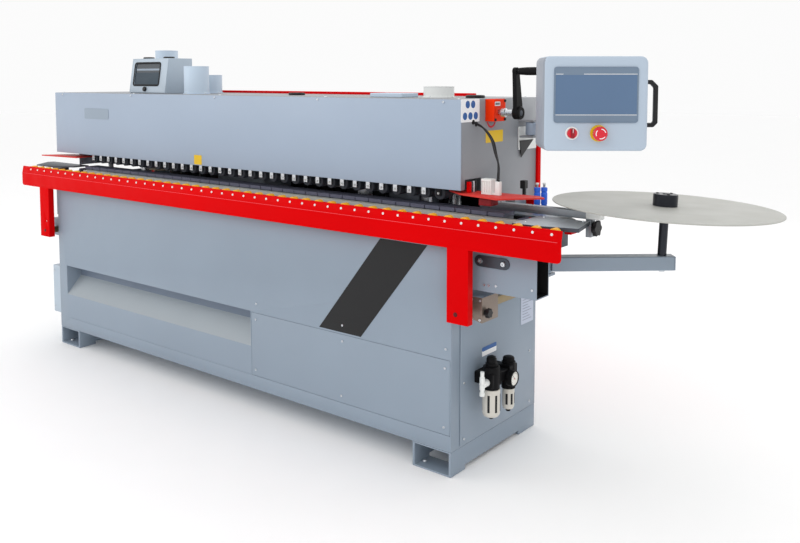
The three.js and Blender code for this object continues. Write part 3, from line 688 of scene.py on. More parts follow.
def chain():
    """Rubber pads on carriers round both wheels, over a roller chain."""
    pitch = (CHAIN_RIGHT - CHAIN_LEFT) / PAD_COUNT
    pads, carriers = bmesh.new(), bmesh.new()
    rise = PAD_TOP - CHAIN_Z
    half = pitch / 2 - 0.0016

    def add_pad(turn):
        add_box(pads, (-half, PAD_FRONT, rise - 0.013), (half, PAD_REAR, rise), turn)
        add_box(carriers, (-half + 0.002, PAD_FRONT + 0.002, rise - 0.027),
                (half - 0.002, PAD_REAR - 0.002, rise - 0.0135), turn)

    for i in range(PAD_COUNT):
        x = CHAIN_LEFT + pitch * (i + 0.5)
        upper = Matrix.Translation(at(x, 0, CHAIN_Z))
        add_pad(upper)
        add_pad(upper @ Matrix.Rotation(math.pi, 4, "X") @ Matrix.Translation(
            Vector((0, -PAD_FRONT - PAD_REAR, 0))))
    for x, side in ((CHAIN_RIGHT, 1), (CHAIN_LEFT, -1)):
        for turn in (50, 90, 130):
            add_pad(Matrix.Translation(at(x, 0, CHAIN_Z))
                    @ Matrix.Rotation(math.radians(side * turn), 4, "Y")
                    @ Matrix.Translation((0, 0, -0.001)) @ Matrix.Diagonal((0.84, 1, 1, 1)))
    tops = finish_mesh("chain_pads", pads, BASE, pad_rubber, 0.0012)
    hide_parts("conveyor_chain")
    finish_mesh("chain_carriers", carriers, BASE, dark_steel, 0.001)
    chain_links()


def chain_links():
    """Two rows of link plates with their rollers, just outside the wheels' rims."""
    pitch, radius = 0.0319, 0.055
    straight = CHAIN_RIGHT - CHAIN_LEFT
    length = 2 * straight + 2 * math.pi * radius
    count = round(length / pitch)
    plates, pins = bmesh.new(), bmesh.new()
    for i in range(count):
        s = length * i / count
        if s < straight:
            place, turn = (CHAIN_LEFT + s, radius), 0
        elif s < straight + math.pi * radius:
            turn = (s - straight) / radius
            place = (CHAIN_RIGHT + radius * math.sin(turn), radius * math.cos(turn))
        elif s < 2 * straight + math.pi * radius:
            turn = math.pi
            place = (CHAIN_RIGHT - (s - straight - math.pi * radius), -radius)
        else:
            turn = math.pi + (s - 2 * straight - math.pi * radius) / radius
            place = (CHAIN_LEFT + radius * math.sin(turn), radius * math.cos(turn))
        link = Matrix.Translation(at(place[0], 0, CHAIN_Z + place[1])) @ Matrix.Rotation(turn, 4, "Y")
        for front in (0.1285, 0.1685) if i % 2 else (0.1325, 0.1645):
            add_box(plates, (-0.021, front, -0.0045), (0.021, front + 0.003, 0.0045), link)
        pin = link @ Matrix.Translation((0.016, 0.127, 0)) @ Matrix.Rotation(-math.pi / 2, 4, "X")
        add_lathe(pins, solid((0.004, 0), (0.004, 0.046)), pin, 12)
    finish_mesh("chain_plates", plates, BASE, dark_steel, 0.0006)
    finish_mesh("chain_pins", pins, BASE, steel)


def table():
    """The track, the tables, the beam's plates and screws, and the chain's motor."""
    dress("conveyor_track", dark_steel, 0.001)
    dress("infeed_table", dark_steel, 0.0012)
    # The table's upward faces get a painted highlight.
    paint_facing("infeed_table", top_highlight_steel, Z)
    # A dark sheet of painted shade at the rear of the space under the head.
    boxes("rear_painted_shade_sheet", [(at(-2.25, 0.5728, 0.755), at(-0.06, 0.5748, 0.985))], BASE, painted_shade_dark, 0)
    paint_faces("base_cabinet", cast_zinc, at(0.0145, 0.0215, 0.5275), at(0.1025, 0.1185, 0.6105))
    boxes("chain_guide_strip", [(at(-2.25, 0.086, 0.8382), at(0.2, 0.112, 0.8560))], BASE, strip_paint)
    dress("outfeed_plate", dark_steel, 0.0012)
    dress("drive_motor", grey_paint, 0.002)
    for node in ("drive_sprocket", "idler_sprocket"):
        dress(node, dark_steel, 0.0008)
    # Painted shade on the beam's faces under the chain.
    paint_faces("table_beam", painted_shade_dark, at(-2.3965, 0.0335, 0.6), at(0.2905, 0.1055, 0.8345))
    plate_z = 0.7275
    prism("beam_slot_plate", rounded(0.127, 0.036, 0.0175, 8), 0.004,
          facing(at(0.1335, 0.0298, plate_z), FRONT), BASE, dark_steel, 0.0008)
    screws("beam_plate_bolts", [at(x, 0.0258, plate_z) for x in (0.092, 0.176)], FRONT, BASE, screw_large)
    beam = [(0.105, 0.652), (0.122, 0.652), (0.148, 0.654), (0.276, 0.66)]
    screws("beam_screws", [at(x, 0.03, z) for x, z in beam], FRONT, BASE)
    screws("bracket_screws", [at(x, 0.022, z) for x in (0.064, 0.094) for z in (0.538, 0.6)], FRONT, BASE)
    infeed = [(0.24, 0.05), (0.24, 0.165), (0.375, 0.165)]
    screws("table_screws", [at(x, y, 0.863) for x, y in infeed], Z, BASE)
    bm = bmesh.new()
    for i in range(13):
        matrix = basis(Y, at(CHAIN_LEFT, 0.304 + 0.012 * i, CHAIN_Z))
        add_lathe(bm, solid((0.0505, 0), (0.0505, 0.004)), matrix, 40)
    finish_mesh("motor_fins", bm, BASE, grey_paint, 0.0006)


# ------------------------------------------------------------------ support rail
RAIL = "rail"
ROLLER_PITCH = 0.0627
RAIL_COUNT = 46
RAIL_FIRST = middle("support_roller_infeed")
RAIL_RADIUS, RAIL_WIDTH = 0.015, 0.024


def along(first, numbers):
    """Places one roller pitch apart, counted from the first roller to the left."""
    return [at(first.x - ROLLER_PITCH * i, first.y, first.z) for i in numbers]


def rail():
    """The red rail with its bars, its row of yellow rollers and its knobs."""
    dress("support_rail", red_paint, 0.0012)
    bar_z, reach = 0.56, 0.0135
    for x in (-2.383, 0.043):
        paint_faces("support_rail", bronze_zinc, at(x - reach, -0.0425, bar_z - reach),
                    at(x + reach, 0.361, bar_z + reach))
    joined = range(1, RAIL_COUNT + 1)
    row = roller_row("rail_rollers", along(RAIL_FIRST, joined), RAIL_RADIUS, RAIL_WIDTH, RAIL, roller_yellow)
    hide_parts("support_rollers")
    first = roller_row("rail_roller_first", along(RAIL_FIRST, [0]), RAIL_RADIUS, RAIL_WIDTH,
                       "rail_roller", roller_yellow)
    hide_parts("support_roller_infeed")
    heads = along(Vector((RAIL_FIRST.x, -0.0407, 0.853)), range(RAIL_COUNT + 1))
    face_lean = Vector((0, -0.979, 0.2017))
    screws("rail_axle_heads", heads, face_lean, RAIL, screw_axle)
    half = 0.0035
    axles = [(centre + Vector((-half, -0.0175, -half)), centre + Vector((half, 0.0155, half)))
             for centre in along(RAIL_FIRST, joined)]
    boxes("rail_axles", axles, RAIL, steel, 0.0008)
    # A thin strip of painted highlight along the rail's fold.
    boxes("rail_fold_painted_highlight", [(at(-2.574, -0.0453, 0.8315), at(0.397, -0.0447, 0.8327))], RAIL, rail_fold_highlight_paint, 0)
    for i, x in enumerate((-2.383, 0.046)):
        turned(f"bar_end_bolt_{i + 1}", at(x, -0.0448, 0.562), FRONT,
               solid((0.0075, 0), (0.0075, 0.0012), (0.0045, 0.0018)), RAIL,
               dark_red_steel, steps=28)
    star_knob("rail_knob_right_grip", at(0.1023, 0.040, bar_z), X, "knob_right", "rail_knob_right")
    star_knob("rail_knob_left_grip", at(-2.4423, 0.040, bar_z), -X, "knob_left", "rail_knob_left")


# ------------------------------------------------------------------ head
HEAD_TOP = 1.233
HEAD_RIGHT = -0.02
DUST_PORTS = [(-1.576, 0.25, 1.357, port_paint), (-2.06, 0.45, 1.442, port_paint),
              (-1.70, 0.43, 1.319, port_paint), (-0.267, 0.30, 1.273, white_plastic)]


def head():
    """The casing and hood, with the dust ports and caps on top."""
    dress("head_casing", head_paint, 0.0015)
    dress("front_hood", light_paint, 0.0012)
    for node in ("lift_column_left", "lift_column_right"):
        dress(node, bright, 0.0008)
    bore, wall, bead, flange, screw_circle = 0.0511, 0.0556, 0.0562, 0.0605, 0.0575
    for i, (x, y, top, material) in enumerate(DUST_PORTS):
        height = top - HEAD_TOP
        turned(f"dust_port_{i + 1}", at(x, y, HEAD_TOP), Z,
               [(bore, -0.002), (flange, -0.0001), (flange, 0.003), (wall, 0.0036), (wall, height - 0.004),
                (bead, height - 0.003), (bead, height - 0.0006), (wall, height - 0.0001),
                (bore, height - 0.0001), (bore, -0.002)], BASE, material, steps=64)
        places = [at(x + screw_circle * c, y + screw_circle * s, HEAD_TOP + 0.0025)
                  for c, s in ((1, 0), (0, 1), (-1, 0), (0, -1))]
        screws(f"dust_port_{i + 1}_screws", places, Z, BASE)
    boxes("head_top_box", [(at(-0.51, 0.20, HEAD_TOP), at(-0.36, 0.30, 1.2482))], BASE, port_paint, 0.003)
    for i, (x, y) in enumerate(((-0.99, 0.30), (-0.11, 0.30))):
        turned(f"head_cap_{i + 1}", at(x, y, HEAD_TOP), Z,
               [(0, 0), (0.034, 0), (0.034, 0.008), (0.030, 0.0105), (0, 0.011)], BASE, black_plastic)
    screws("head_top_screws", [at(x, y, HEAD_TOP) for x in (-2.44, -1.85, -1.25, -0.65, -0.05)
                               for y in (0.11, 0.545)], Z, BASE)
    hood_details()


def hood_details():
    """A blank badge, a blank mark and the hinge screws."""
    sticker("hood_badge", at(-2.11, 0.0778, 1.135), FRONT, 0.20, 0.05, "hood", badge_paint, radius=0.006)
    sticker("hood_mark", at(-1.359, 0.0778, 0.959), FRONT, 0.05, 0.04, "hood", yellow_plastic, radius=0.004)
    screws("hood_hinge_screws", [at(x, 0.078, 1.224) for x in (-2.4, -1.83, -1.245, -0.66, -0.09)],
           FRONT, "hood")


def casing_end():
    """Labels and fittings on the infeed end of the head."""
    sticker("end_sticker", at(HEAD_RIGHT, 0.132, 1.196), X, 0.11, 0.076, BASE, white_film)
    bm = bmesh.new()
    for y, z in ((0.116, 1.216), (0.148, 1.216), (0.100, 1.178), (0.132, 1.178), (0.164, 1.178)):
        add_lathe(bm, solid((0.0125, 0), (0.0125, 0.0004)),
                  basis(X, at(HEAD_RIGHT + 0.0008, y, z)), 32)
    finish_mesh("end_sticker_dots", bm, BASE, blue_film)
    sticker("end_mark", at(HEAD_RIGHT, 0.2825, 1.1035), X, 0.111, 0.041, BASE, yellow_plastic)
    prism("turn_arrow", arc_band(0.03, 0.0231, 200, 140, 12), 0.0005,
          facing(at(HEAD_RIGHT + 0.0003, 0.262, 1.163), X), BASE, red_film, bevel=0)
    prism("end_bracket", rounded(0.128, 0.084, 0.006), 0.004, facing(at(HEAD_RIGHT, 0.506, 1.087), X), BASE,
          white_plastic, 0.001)
    prism("end_bracket_web", [(-0.058, 0.030), (0.040, 0.030), (-0.048, -0.032)], 0.003,
          facing(at(HEAD_RIGHT + 0.0041, 0.504, 1.0495), X), BASE, black_plastic, 0.0008)
    for i, (y, z) in enumerate(((0.150, 1.157), (0.168, 1.150))):
        turned(f"tube_grommet_{i + 1}", at(HEAD_RIGHT - 0.001, y, z), X,
               solid((0.0075, 0), (0.0085, 0.001), (0.0075, 0.003), (0.0045, 0.0035)),
               BASE, black_rubber, steps=24)


BOX_TOP, BOX_FOOT, BOX_FRONT, BOX_SETBACK = 1.396, 1.2333, 0.226, 0.026
WINDOW_X = -1.89


def instrument_box():
    """The door's window, seal and knob, and two caps on the leaning box."""
    dress("instrument_box", pale_paint, 0.003)
    dress("box_door", pale_paint, 0.002)
    lean = math.atan2(BOX_SETBACK, BOX_TOP - BOX_FOOT)
    door = Matrix.Translation(at(0, BOX_FRONT, BOX_TOP)) @ Matrix.Rotation(-lean, 4, "X")

    def on_door(x, depth, below):
        """A drawing plane on the door, below its top edge."""
        return door @ Matrix.Translation((x, -depth, -below)) @ UPRIGHT

    prism("door_glass", rounded(0.198, 0.108, 0.012), 0.0012, on_door(WINDOW_X, 0.0003, 0.075), "door",
          window_glass, bevel=0)
    rim("door_seal", rounded(0.204, 0.114, 0.015), rounded(0.188, 0.098, 0.009), 0.0018,
        on_door(WINDOW_X, 0.0043, 0.075), "door", black_rubber)
    turned("door_knob", on_door(WINDOW_X, 0.0043, 0.146).translation, -(door.to_3x3() @ Y),
           [(0, 0), (0.008, 0), (0.011, 0.002), (0.011, 0.008), (0.009, 0.01), (0, 0.0105)], "door",
           black_plastic)
    for i, x in enumerate((-1.955, -1.80)):
        turned(f"box_cap_{i + 1}", at(x, 0.27, BOX_TOP), Z,
               [(0, 0), (0.026, 0), (0.026, 0.006), (0.022, 0.008), (0, 0.0085)], BASE, black_plastic)
    prism("window_lower_pane", rounded(0.180, 0.056, 0.004), 0.0004, on_door(WINDOW_X, 0.0017, 0.095), "door",
          slate, bevel=0)
    prism("window_shelf_line", rounded(0.176, 0.009, 0.003), 0.0004, on_door(-1.889, 0.0017, 0.053), "door",
          grey_paint, bevel=0)


# ------------------------------------------------------------------ pressure beam
PRESS = "pressure_unit"
PRESS_COUNT = 33
PRESS_FIRST = middle("pressure_roller_infeed")
PRESS_RADIUS, PRESS_WIDTH = 0.022, 0.056
GUARD_TOP = 0.9262


def pressure():
    """The pressure beam with its row of top rollers."""
    dress("pressure_beam", black_beam, 0.0012)
    paint_faces("pressure_beam", guard_paint, at(-2.7, 0.02, 0.9145), at(0.3, 0.19, 0.9265))
    joined = range(1, PRESS_COUNT + 1)
    row = roller_row("press_rollers", along(PRESS_FIRST, joined), PRESS_RADIUS, PRESS_WIDTH, PRESS,
                     roller_dark)
    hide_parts("pressure_rollers")
    first = roller_row("press_roller_first", along(PRESS_FIRST, [0]), PRESS_RADIUS, PRESS_WIDTH,
                       "pressure_roller", roller_dark)
    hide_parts("pressure_roller_infeed")
    cheeks = [(centre + Vector((-0.009, y, -0.009)), centre + Vector((0.009, y + 0.005, 0.047)))
              for centre in along(PRESS_FIRST, joined) for y in (-0.036, 0.031)]
    boxes("roller_cheeks", cheeks, PRESS, bright)
    heads = along(Vector((PRESS_FIRST.x, 0.114, PRESS_FIRST.z)), range(PRESS_COUNT + 1))
    screws("roller_axle_heads", heads, FRONT, PRESS, screw_axle)
    clamp()
    air_tubes()


def clamp():
    """The ribbed air cylinder that holds the blade, beside the block that feeds it."""
    left, right, front, rear = 0.040, 0.078, 0.108, 0.136
    foot, top = 0.9263, 0.977
    neck, head = foot + 0.006, top - 0.008
    bm = bmesh.new()
    for bottom, end, inset in ((foot, neck, 0), (neck, head, 0.003), (head, top, 0)):
        add_box(bm, at(left + inset, front + inset, bottom), at(right - inset, rear - inset, end))
    for i in range(5):
        x = left + 0.001 + 0.0083 * i
        add_box(bm, at(x, front, neck), at(x + 0.0028, rear, head))
    body = finish_mesh("clamp_body", bm, PRESS, white_plastic, 0.0008)
    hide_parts("clamp_cylinder")
    feed = [(at(right - 0.001, 0.112, foot), at(0.107, 0.126, foot + 0.0075)),
            (at(0.090, 0.112, foot + 0.0065), at(0.107, 0.126, 0.971))]
    boxes("clamp_feed", feed, PRESS, white_plastic, 0.0012)
    for i, (x, y) in enumerate(((0.094, 0.1215), (0.1015, 0.1165))):
        turned(f"clamp_fitting_{i + 1}", at(x, y, 0.9708), Z,
               solid((0.0034, 0), (0.0034, 0.004), (0.0028, 0.0045), (0.0028, 0.0072)),
               PRESS, black_plastic, steps=24)
    boxes("notch_upright", [(at(-0.017, 0.108, GUARD_TOP), at(-0.006, 0.122, 0.962))], PRESS, red_paint)
    for i, (y, material) in enumerate(((0.131, dark_steel), (0.142, bright), (0.153, black_plastic))):
        turned(f"notch_pin_{i + 1}", at(-0.012, y, GUARD_TOP), Z,
               solid((0.0042, 0), (0.0042, 0.035), (0.003, 0.0365)), PRESS, material, steps=24)


AIR_TUBES = [  # millimetres, from the casing to the clamp
    [(-18, 150, 1157), (16, 150, 1142), (52, 146, 1104), (74, 136, 1060), (96, 124, 1022),
     (101.5, 116.5, 979)],
    [(-18, 168, 1150), (16, 170, 1132), (48, 168, 1096), (66, 158, 1056), (86, 138, 1022),
     (94, 121.5, 979)],
]


def air_tubes():
    """Two tubes from the casing to the clamp."""
    for i, points in enumerate(AIR_TUBES):
        route = [at(*(millimetres / 1000 for millimetres in point)) for point in points]
        piece = tube_mesh(f"air_tube_{i + 1}_skin", smooth_path(route, 8), 0.003, black_plastic)
        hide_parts(f"air_tube_{i + 1}")
        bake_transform(piece)


# ------------------------------------------------------------------ height crank
CRANK_Y, CRANK_Z = 0.256, 1.187
GRIP_Y, GRIP_Z = middle("crank_grip").yz


def crank():
    """The counter's face, then the crank: shaft, hub, arm and grip."""
    axle = at(0, CRANK_Y, CRANK_Z)
    dress("position_indicator", orange_plastic, 0.003)
    sticker("indicator_window", at(0.016, 0.243, 1.2165), X, 0.034, 0.014, BASE, white_film, radius=0.002)
    digits = []
    for i in range(5):
        y = 0.2295 + 0.0055 * i
        digits.append((at(0.0166, y, 1.2125), at(0.0172, y + 0.0035, 1.2205)))
    boxes("indicator_digits", digits, BASE, black_paint, 0.0003)
    screws("indicator_screws", [at(0.016, y, z) for y, z in ((0.229, 1.163), (0.29, 1.163), (0.29, 1.226))],
           X, BASE, screw_black)
    bm = bmesh.new()
    add_lathe(bm, solid((0.008, 0), (0.008, 0.04), (0.0148, 0.041), (0.0148, 0.055), (0.0105, 0.057),
                        (0.0105, 0.09)), basis(X, axle + Vector((-0.014, 0, 0))), 40)
    shaft = finish_mesh("crank_shaft", bm, "crank", bright, 0.0006)
    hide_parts("height_crank")
    hub = solid((0.0195, 0), (0.022, 0.002), (0.022, 0.024), (0.0195, 0.027), (0.011, 0.027),
                (0.0105, 0.0245))
    turned("crank_hub", axle + Vector((0.075, 0, 0)), X, hub, "crank", crank_black, steps=56)
    outline = [(CRANK_Y - 0.0205, CRANK_Z), (CRANK_Y + 0.0215, CRANK_Z),
               (GRIP_Y + 0.0115, GRIP_Z), (GRIP_Y - 0.0115, GRIP_Z)]
    sideways = Matrix(((0, 0, 1, 0), (1, 0, 0, 0), (0, 1, 0, 0), (0, 0, 0, 1)))
    bm = bmesh.new()
    add_prism(bm, outline, 0.015, Matrix.Translation(at(0.0805, 0, 0)) @ sideways)
    add_lathe(bm, solid((0.0115, 0), (0.013, 0.0015), (0.013, 0.0145), (0.0115, 0.016)),
              basis(X, at(0.080, GRIP_Y, GRIP_Z)), 40)
    finish_mesh("crank_arm", bm, "crank", crank_black, 0.003, segments=3)
    turned("crank_cap", axle + Vector((0.0995, 0, 0)), X,
           [(0, 0), (0.010, 0), (0.010, 0.0012), (0.007, 0.0022), (0, 0.0025)], "crank", dark_steel)
    turned("crank_pin", at(0.095, GRIP_Y, GRIP_Z), X, solid((0.005, 0), (0.005, 0.097)),
           "crank", bright, steps=28)
    grip = turned("crank_grip_skin", at(0.1, GRIP_Y, GRIP_Z), X,
                  [(0.0054, 0), (0.0105, 0), (0.0115, 0.002), (0.0122, 0.012), (0.0132, 0.03),
                   (0.0135, 0.055), (0.0125, 0.075), (0.0112, 0.086), (0.0095, 0.088), (0.0054, 0.088),
                   (0.0054, 0)], "crank_handle", crank_black, steps=48)
    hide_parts("crank_grip")


# ------------------------------------------------------------------ working units
def units():
    """The gluing, trimming and buffing units, hidden behind the hood."""
    dress("glue_unit", dark_steel, 0.0012)
    dress("trim_unit", cast_metal, 0.0015)
    dress("buffing_unit", grey_paint, 0.0012)
    for node in ("glue_roller", "press_roller"):
        dress(node, steel, 0.0006)
    dress("buffing_wheel", cloth, 0.0015)
    dress("band_guide_bracket", table_steel, 0.001)
    turned("glue_lid", at(-0.36, 0.275, 1.02), Z,
           [(0, 0), (0.052, 0), (0.052, 0.006), (0.046, 0.01), (0, 0.011)], BASE, black_plastic)
    for i, x in enumerate((-1.4, -1.22)):
        turned(f"trim_motor_cap_{i + 1}", at(x, 0.32, 1.009), Z,
               [(0, 0), (0.0375, 0), (0.0375, 0.008), (0.032, 0.014), (0, 0.015)], BASE, black_plastic)


def tool_heads():
    """Small motors, slides and their caps in the dark space behind the chain."""
    slides, motors, caps = bmesh.new(), bmesh.new(), bmesh.new()
    for i in range(12):
        x = -2.02 + 0.148 * i
        add_box(slides, at(x - 0.03, 0.470, 0.790), at(x + 0.03, 0.515, 0.925))
        motor_x, motor_y, foot = x + 0.055, 0.485, 0.800
        add_lathe(motors, solid((0.026, 0), (0.028, 0.003), (0.028, 0.095), (0.024, 0.099)),
                  basis(Z, at(motor_x, motor_y, foot)), 28)
        add_lathe(caps, solid((0.017, 0), (0.017, 0.012), (0.012, 0.016)),
                  basis(Z, at(motor_x, motor_y, foot + 0.099)), 24)
    add_box(slides, at(-2.1, 0.515, 0.760), at(-0.2, 0.5745, 0.800))
    finish_mesh("tool_slides", slides, BASE, black_beam, 0.002)
    finish_mesh("tool_motors", motors, BASE, black_plastic)
    finish_mesh("tool_caps", caps, BASE, bright)
    turned("outfeed_stand", at(-2.28, 0.26, 0.838), Z, solid((0.02, 0), (0.02, 0.006), (0.013, 0.008),
                                                             (0.013, 0.088)), BASE, bright, steps=36)
    boxes("outfeed_stand_head", [(at(-2.335, 0.235, GUARD_TOP), at(-2.225, 0.285, 0.9365))], BASE,
          black_beam, 0.002)


# ------------------------------------------------------------------ band guide and fence
def guide():
    """The blue guide rollers and the infeed fence."""
    for name, node in (("guide_front", "guide_roller_front"), ("guide_rear", "guide_roller_rear")):
        x, y = middle(node).xy
        roller = turned(f"{name}_skin", at(x, y, 0.853), Z,
                        [(0.0045, 0), (0.0092, 0), (0.011, 0.0012), (0.011, 0.012), (0.0098, 0.014),
                         (0.0098, 0.019), (0.011, 0.021), (0.011, 0.056), (0.0098, 0.058), (0.0098, 0.063),
                         (0.011, 0.065), (0.011, 0.0758), (0.0092, 0.077), (0.0045, 0.077), (0.0045, 0)],
                        name, blue_plastic, steps=40)
        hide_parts(node)
        turned(f"{name}_tip", at(x, y, 0.9402), Z,
               [(0, 0), (0.006, 0), (0.006, 0.004), (0.0045, 0.0055), (0, 0.006)], BASE, white_plastic,
               steps=24)
    dress("infeed_fence", table_steel, 0.0012)
    # The fence's upward faces get a painted highlight.
    paint_facing("infeed_fence", top_highlight_steel, Z)
    fence_y = 0.202
    boxes("fence_end_block", [(at(0.372, fence_y - 0.0155, 0.869), at(0.4205, fence_y + 0.0155, 0.8925))],
          "fence", white_plastic, 0.0015)
    screws("fence_screws", [at(x, fence_y, 0.892) for x in (0.06, 0.18, 0.30)], Z, "fence")
    star_knob("fence_knob_grip", at(0.3903, fence_y, 0.840), X, "fence_clamp", "fence_knob", 0.026, 0.018)


# ------------------------------------------------------------------ air service unit
SERVICE_X = 0.060
OILER_Y = middle("frl_bowl_large").y
FILTER_Y = middle("frl_bowl_small").y
GAUGE = at(0.0795, 0.228, 0.292)


def air_service():
    """The air service unit low on the infeed end."""
    bm = bmesh.new()
    add_box(bm, at(0.0036, 0.13, 0.285), at(0.043, 0.27, 0.325))
    add_box(bm, at(0.038, 0.12, 0.282), at(0.082, 0.178, 0.330))
    add_box(bm, at(0.038, 0.228, 0.282), at(0.082, 0.280, 0.330))
    add_box(bm, at(0.042, 0.177, 0.288), at(0.078, 0.229, 0.322))
    body = finish_mesh("air_blocks", bm, BASE, crank_black, 0.003, segments=3)
    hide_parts("frl_body")
    turned("oiler_collar", at(SERVICE_X, OILER_Y, 0.2733), Z,
           solid((0.0265, 0), (0.028, 0.001), (0.028, 0.075), (0.0255, 0.0767)), BASE, crank_black)
    turned("oiler_cap", at(SERVICE_X, OILER_Y, 0.35), Z,
           solid((0.019, 0), (0.020, 0.001), (0.020, 0.010), (0.017, 0.012), (0.017, 0.024),
                 (0.0145, 0.028), (0.0145, 0.031), (0.010, 0.033)), BASE, crank_black, steps=40)
    turned("filter_collar", at(SERVICE_X, FILTER_Y, 0.2443), Z,
           solid((0.0225, 0), (0.024, 0.001), (0.024, 0.092), (0.022, 0.0927)), BASE, crank_black)
    bowl("oiler_bowl", "frl_bowl_large", OILER_Y, 0.030, 0.178, 0.273)
    bowl("filter_bowl", "frl_bowl_small", FILTER_Y, 0.021, 0.170, 0.244)
    gauge()
    turned("air_inlet", at(SERVICE_X, 0.092, 0.3), Y,
           solid((0.0115, 0), (0.012, 0.001), (0.012, 0.03)), BASE, white_plastic, steps=32)
    fitting = solid((0.0082, 0), (0.0088, 0.001), (0.0088, 0.012), (0.0065, 0.013), (0.0065, 0.02),
                    (0.0088, 0.021), (0.0088, 0.036), (0.0065, 0.037), (0.0065, 0.044), (0.0088, 0.045),
                    (0.0088, 0.062), (0.0065, 0.063), (0.0065, 0.0815))
    turned("air_fittings", at(SERVICE_X, 0.092, 0.2625), Z, fitting, BASE, white_plastic, steps=32)
    regulator()


def bowl(name, node, y, radius, bottom, top):
    """A bowl in its guard, with four sight slots and a drain below."""
    height = top - bottom
    outline = solid((radius * 0.55, 0.0005), (radius * 0.82, 0.003), (radius * 0.96, 0.009), (radius, 0.016),
                    (radius, height - 0.006), (radius * 0.985, height - 0.0005))
    piece = turned(name, at(SERVICE_X, y, bottom), Z, outline, BASE, bowl_guard, steps=56)
    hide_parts(node)
    turned(f"{name}_drain", at(SERVICE_X, y, bottom - 0.008), Z,
           solid((0.0065, 0), (0.008, 0.0015), (0.008, 0.0085)), BASE, crank_black, steps=28)
    bm = bmesh.new()
    for angle in (-75, -25, 25, 75):
        turn = Matrix.Translation(at(SERVICE_X, y, 0)) @ Matrix.Rotation(math.radians(angle), 4, "Z")
        add_box(bm, (radius - 0.0015, -0.004, bottom + 0.02), (radius + 0.0006, 0.004, top - 0.016), turn)
    finish_mesh(f"{name}_sights", bm, BASE, black_paint, 0.0008)


def gauge():
    """The round gauge: case, dial, ticks, needle and pin."""
    turned("gauge_case", GAUGE, X,
           solid((0.0245, 0), (0.027, 0.002), (0.027, 0.021), (0.026, 0.0243), (0.0235, 0.0243),
                 (0.0232, 0.0215)), BASE, crank_black)
    turned("gauge_dial", GAUGE + Vector((0.0216, 0, 0)), X,
           [(0, 0), (0.0228, 0), (0.0228, 0.0004), (0, 0.0006)], BASE, gauge_white)

    def on_dial(height, angle):
        """A matrix above the dial, turned from the top of the dial by an angle in degrees."""
        place = GAUGE + Vector((height, 0, 0))
        return Matrix.Translation(place) @ Matrix.Rotation(math.radians(angle), 4, "X")

    marks = bmesh.new()
    for i in range(13):
        add_box(marks, (0, -0.0005, 0.0165), (0.0004, 0.0005, 0.0205), on_dial(0.0222, -120 + 20 * i))
    add_box(marks, (0, -0.0006, -0.005), (0.0004, 0.0006, 0.0155), on_dial(0.0226, 40))
    finish_mesh("gauge_marks", marks, BASE, black_paint)
    turned("gauge_pin", GAUGE + Vector((0.0226, 0, 0)), X, [(0, 0), (0.002, 0), (0.002, 0.001), (0, 0.0012)],
           BASE, red_film, steps=24)


def regulator():
    """The ribbed knob on the filter."""
    place = Matrix.Translation(at(SERVICE_X, FILTER_Y, 0.3376))
    knob = bmesh.new()
    add_prism(knob, lobed(0.0194, 0.0006, 24, 96), 0.012, place)
    crown = [(0, 0.0118), (0.0185, 0.0118), (0.0178, 0.0145), (0.0155, 0.0158), (0, 0.016)]
    add_lathe(knob, crown, place, 64)
    piece = finish_mesh("regulator_grip", knob, "regulator", crank_black, 0.0005)
    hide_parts("regulator_knob")


# ------------------------------------------------------------------ operator panel
PANEL_YAW = math.radians(37.6)
PANEL_AT = (0.5615, -0.163, 1.235)
PANEL_DEPTH = 0.130
BEZEL_X, BEZEL_Z, BEZEL_WIDTH, BEZEL_HEIGHT = 0.0025, 0.02325, 0.219, 0.1455
STOP_X, SELECTOR_X, BUTTON_Z = 0.010, -0.059, -0.0765


def panel_place(x, y, z):
    """A place in the panel's own axes: x to the right, y into the panel, z up."""
    return panel_matrix() @ Vector((x, y, z))


def panel_matrix():
    """The panel's own axes."""
    return Matrix.Translation(at(*PANEL_AT)) @ Matrix.Rotation(PANEL_YAW, 4, "Z")


def panel_face(x, y, z):
    """A drawing plane on the panel's front: u to the right, v up, thickness towards the operator."""
    return panel_matrix() @ Matrix.Translation((x, y, z)) @ UPRIGHT


def panel():
    """The operator panel: case, screen, buttons, handle and swivel."""
    body = "panel"
    case = shell("panel_case", 0.2733, 0.247, PANEL_DEPTH, 0.018, 0.010, panel_face(0.00185, 0, 0), body,
                 panel_paint)
    # The case's left side gets a darker grey: painted shade.
    case.data.materials.append(panel_left_shade_paint)
    side = panel_matrix().to_3x3() @ -X
    for polygon in case.data.polygons:
        if polygon.normal.dot(side) > 0.55:
            polygon.material_index = 1
    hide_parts("hmi_housing")
    screen(body)
    panel_buttons()
    dress("hmi_arm", light_paint, 0.003)
    handle()
    pillow()


def screen(body):
    """The bezel, its glass, the lit field and its two lines."""
    width, height = BEZEL_WIDTH, BEZEL_HEIGHT
    front = panel_face(BEZEL_X, 0, BEZEL_Z)
    rim("panel_frame", rounded(width, height, 0.008), rounded(width - 0.006, height - 0.006, 0.0055), 0.0033,
        front, body, bezel_grey, 0.0008)
    glass = prism("panel_screen", rounded(width - 0.005, height - 0.005, 0.006), 0.0026, front, body,
                  bezel_grey, 0.0004)
    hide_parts("hmi_screen")
    low, high = 0.157, 0.853  # the lit field's edges, as shares of the bezel's height
    lit = panel_face(BEZEL_X, -0.0026, BEZEL_Z + ((low + high) / 2 - 0.5) * height)
    prism("panel_display", rounded(0.2105, (high - low) * height, 0.002, 3), 0.0003, lit, body,
          display_glass, bevel=0)
    lines = []
    for share, spans in ((0.869, ((-0.1047, -0.0857), (-0.0322, 0.1055))), (0.142, ((-0.1047, 0.1055),))):
        z = BEZEL_Z - height / 2 + share * height
        for left, right in spans:
            lines.append(((left + BEZEL_X, -0.0031, z - 0.0006), (right + BEZEL_X, -0.0025, z + 0.0006)))
    boxes("panel_lines", lines, body, white_film, 0, turn=panel_matrix())


